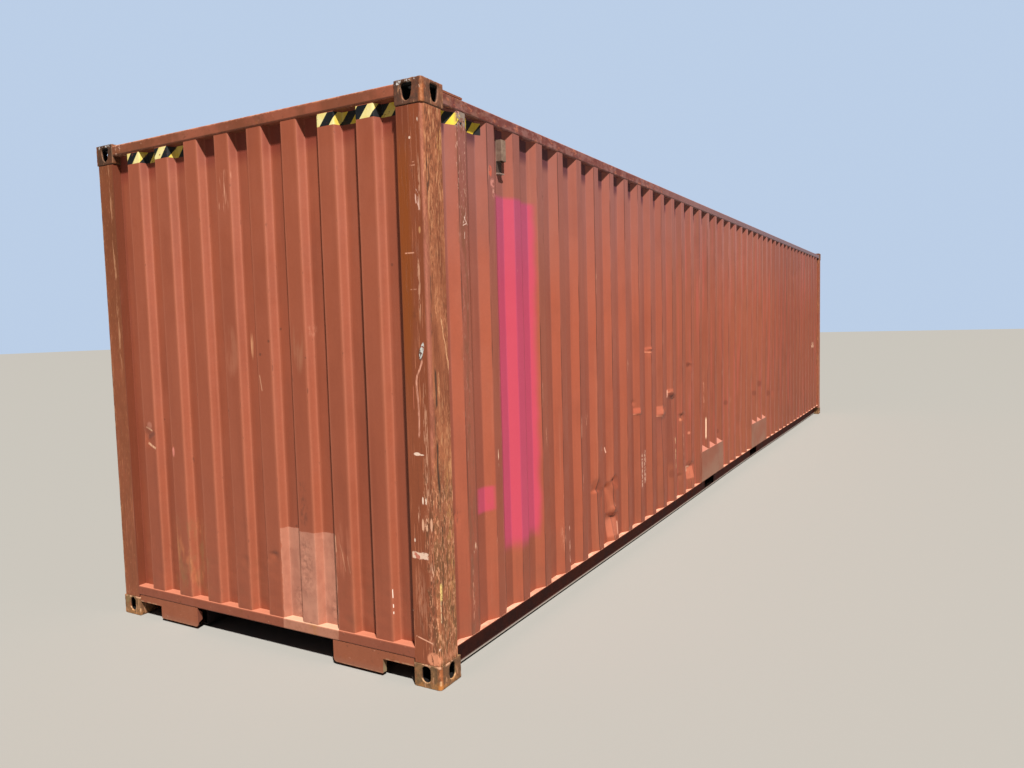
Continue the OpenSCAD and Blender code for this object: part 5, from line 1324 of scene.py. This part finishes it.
def follow_bow(co):
    t = min(1.0, max(0.0, -co.y / 1.139)) ** 4
    return Vector((co.x, co.y + float(bow(co.x, 0.168)) * t, co.z))


def follow_wall(co):
    return Vector((co.x, co.y + float(bow(co.x, co.z)), co.z))


along = [-5.9 + 0.3 * i for i in range(1, 40)]
pads = [q for c0_ in (-1.591, 0.633) for q in [c0_ + 0.07 * i for i in range(1, 12)]]
from_cad("left_bottom_rail", "left_rail_bowed", M_RAIL, along, follow_bow, bevel=(0.0015, 2))
from_cad("left_fork_pads", "left_pads_bowed", M_PAD, pads, follow_wall, bevel=(0.001, 2))
from_cad("fork_pockets", "pockets_bowed", M_UNDER, (), follow_bow, bevel=(0.001, 1))
from_cad("floor_crossmembers", "crossmembers_bowed", M_UNDER, (), follow_bow, bevel=(0.001, 1))


def recast(node, name, voxel):
    ob = from_cad(node, name, M_CAST, voxel=voxel)
    me = ob.data
    n = len(me.vertices)
    co = np.zeros(n * 3)
    me.vertices.foreach_get("co", co)
    co = co.reshape(-1, 3)
    no = np.zeros(n * 3)
    me.vertices.foreach_get("normal", no)
    no = no.reshape(-1, 3)
    lo, hi = (np.array(q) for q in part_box(node))
    # rough surface of a casting, moved inwards only
    dep_ = 0.0007 * (1 + wnoise(co[:, 0] * 1.0 + co[:, 2] * 0.6, co[:, 1] + co[:, 2] * 0.8, 91, 0.035)) + 0.0004 * (1 + wnoise(co[:, 0] + co[:, 1], co[:, 2] - co[:, 1], 92, 0.015))
    # 1 at the rounded rims: how far the normal is from every axis
    rim = np.clip((0.985 - np.abs(no).max(1)) / 0.10, 0, 1)
    co = co - no * dep_[:, None]
    co = np.minimum(np.maximum(co, lo), hi)
    me.vertices.foreach_set("co", co.ravel())
    at = me.attributes.new("rim", "FLOAT", "POINT")
    at.data.foreach_set("value", rim.astype(np.float32))
    me.update()
    return ob


for e in ("front", "rear"):
    for s in ("left", "right"):
        for l in ("bottom", "top"):
            recast(f"casting_{e}_{s}_{l}", f"cast_{e}_{s}_{l}", 0.0040 if (e, s) == ("front", "left") else 0.0048)

# ------------------------------------------------------------------ CAD nodes that stay, with soft edges
STAY = {}
for s in ("left", "right"):
    STAY[f"post_front_{s}"] = (M_POST, 0.0015, 2)
    STAY[f"post_rear_{s}"] = (M_POSTR, 0.0015, 2)
STAY["post_front_left"] = (M_POSTN, 0.0015, 2)
for n_ in ("left_top_rail", "right_top_rail"):
    STAY[n_] = (M_TOPRAIL, 0.0006, 1)
STAY.update({"front_top_rail": (M_FRONTRAIL, 0.0006, 1), "front_sill": (M_SILL, 0.0006, 1), "front_sill_plates": (M_PLATE, 0.0012, 2),
             "right_bottom_rail": (M_RAIL, 0.0015, 2), "right_fork_pads": (M_PAD, 0.001, 2),
             "ventilators": (M_VENT, 0.0015, 2), "roof_corner_plates": (M_FRAME, 0.001, 2),
             "door_header": (M_FRAME, 0.003, 2), "door_sill": (M_FRAME2, 0.003, 2),
             "left_door_frame": (M_FRAME, 0.002, 2), "right_door_frame": (M_FRAME, 0.002, 2),
             "door_gaskets": (M_RUBBER, 0.003, 2), "lock_rods": (M_ZINC, 0.001, 2), "rod_brackets": (M_ZINC, 0.0015, 2),
             "cam_keepers": (M_ZINC, 0.0015, 2), "door_handles": (M_ZINC, 0.0015, 2), "door_hinges": (M_FRAME2, 0.0015, 2),
             "floor_boards": (M_PLY, 0.001, 2), "gooseneck_tunnel": (M_UNDER, 0.001, 1)})
for name, (mt, bw, seg) in STAY.items():
    ob = N[name]
    ob.data.materials.clear()
    ob.data.materials.append(mt)
    ob.data.polygons.foreach_set("material_index", [0] * len(ob.data.polygons))
    ob.data.polygons.foreach_set("use_smooth", [True] * len(ob.data.polygons))
    ob.data.set_sharp_from_angle(angle=math.radians(30))
    if bw:
        b = ob.modifiers.new("edges", "BEVEL")
        b.width, b.segments, b.limit_method, b.angle_limit = bw, seg, "ANGLE", math.radians(30)
        b.use_clamp_overlap = True
        w = ob.modifiers.new("wn", "WEIGHTED_NORMAL")
        w.keep_sharp = False

# ------------------------------------------------------------------ floor and light
me = bpy.data.meshes.new("floor")
s_ = 90.0
me.from_pydata([(-s_, -s_, 0), (s_, -s_, 0), (s_, s_, 0), (-s_, s_, 0)], [], [(0, 1, 2, 3)])
floor = bpy.data.objects.new("floor", me)
bpy.context.scene.collection.objects.link(floor)
nbf = NB("floor_plain")
me.materials.append(nbf.finish((0.284, 0.274, 0.255, 1.0), 0.9, spec=0.2))

sun_d = bpy.data.lights.new("key", "SUN")
sun_d.energy = 8.0
sun_d.angle = math.radians(3.0)
sun_d.color = (1.0, 0.975, 0.93)
sun = bpy.data.objects.new("key", sun_d)
bpy.context.scene.collection.objects.link(sun)
sun.rotation_mode = "QUATERNION"
sun.rotation_quaternion = Vector((-0.393, -0.437, 0.809)).to_track_quat("Z", "Y")
sun.location = (-8, -9, 14)

world = bpy.data.worlds.new("studio")
bpy.context.scene.world = world
world.use_nodes = True
wt = world.node_tree
bg = wt.nodes["Background"]
bg.inputs[0].default_value = (0.80, 0.88, 1.0, 1.0)
bg.inputs[1].default_value = 0.085
# the backdrop behind the object is paler than the fill light it gives
bd = wt.nodes.new("ShaderNodeBackground")
bd.inputs[0].default_value = (0.50, 0.62, 0.80, 1.0)
bd.inputs[1].default_value = 1.0
lp = wt.nodes.new("ShaderNodeLightPath")
mx = wt.nodes.new("ShaderNodeMixShader")
wt.links.new(lp.outputs["Is Camera Ray"], mx.inputs[0])
wt.links.new(bg.outputs[0], mx.inputs[1])
wt.links.new(bd.outputs[0], mx.inputs[2])
wt.links.new(mx.outputs[0], wt.nodes["World Output"].inputs["Surface"])

bpy.context.scene.view_settings.view_transform = "Standard"
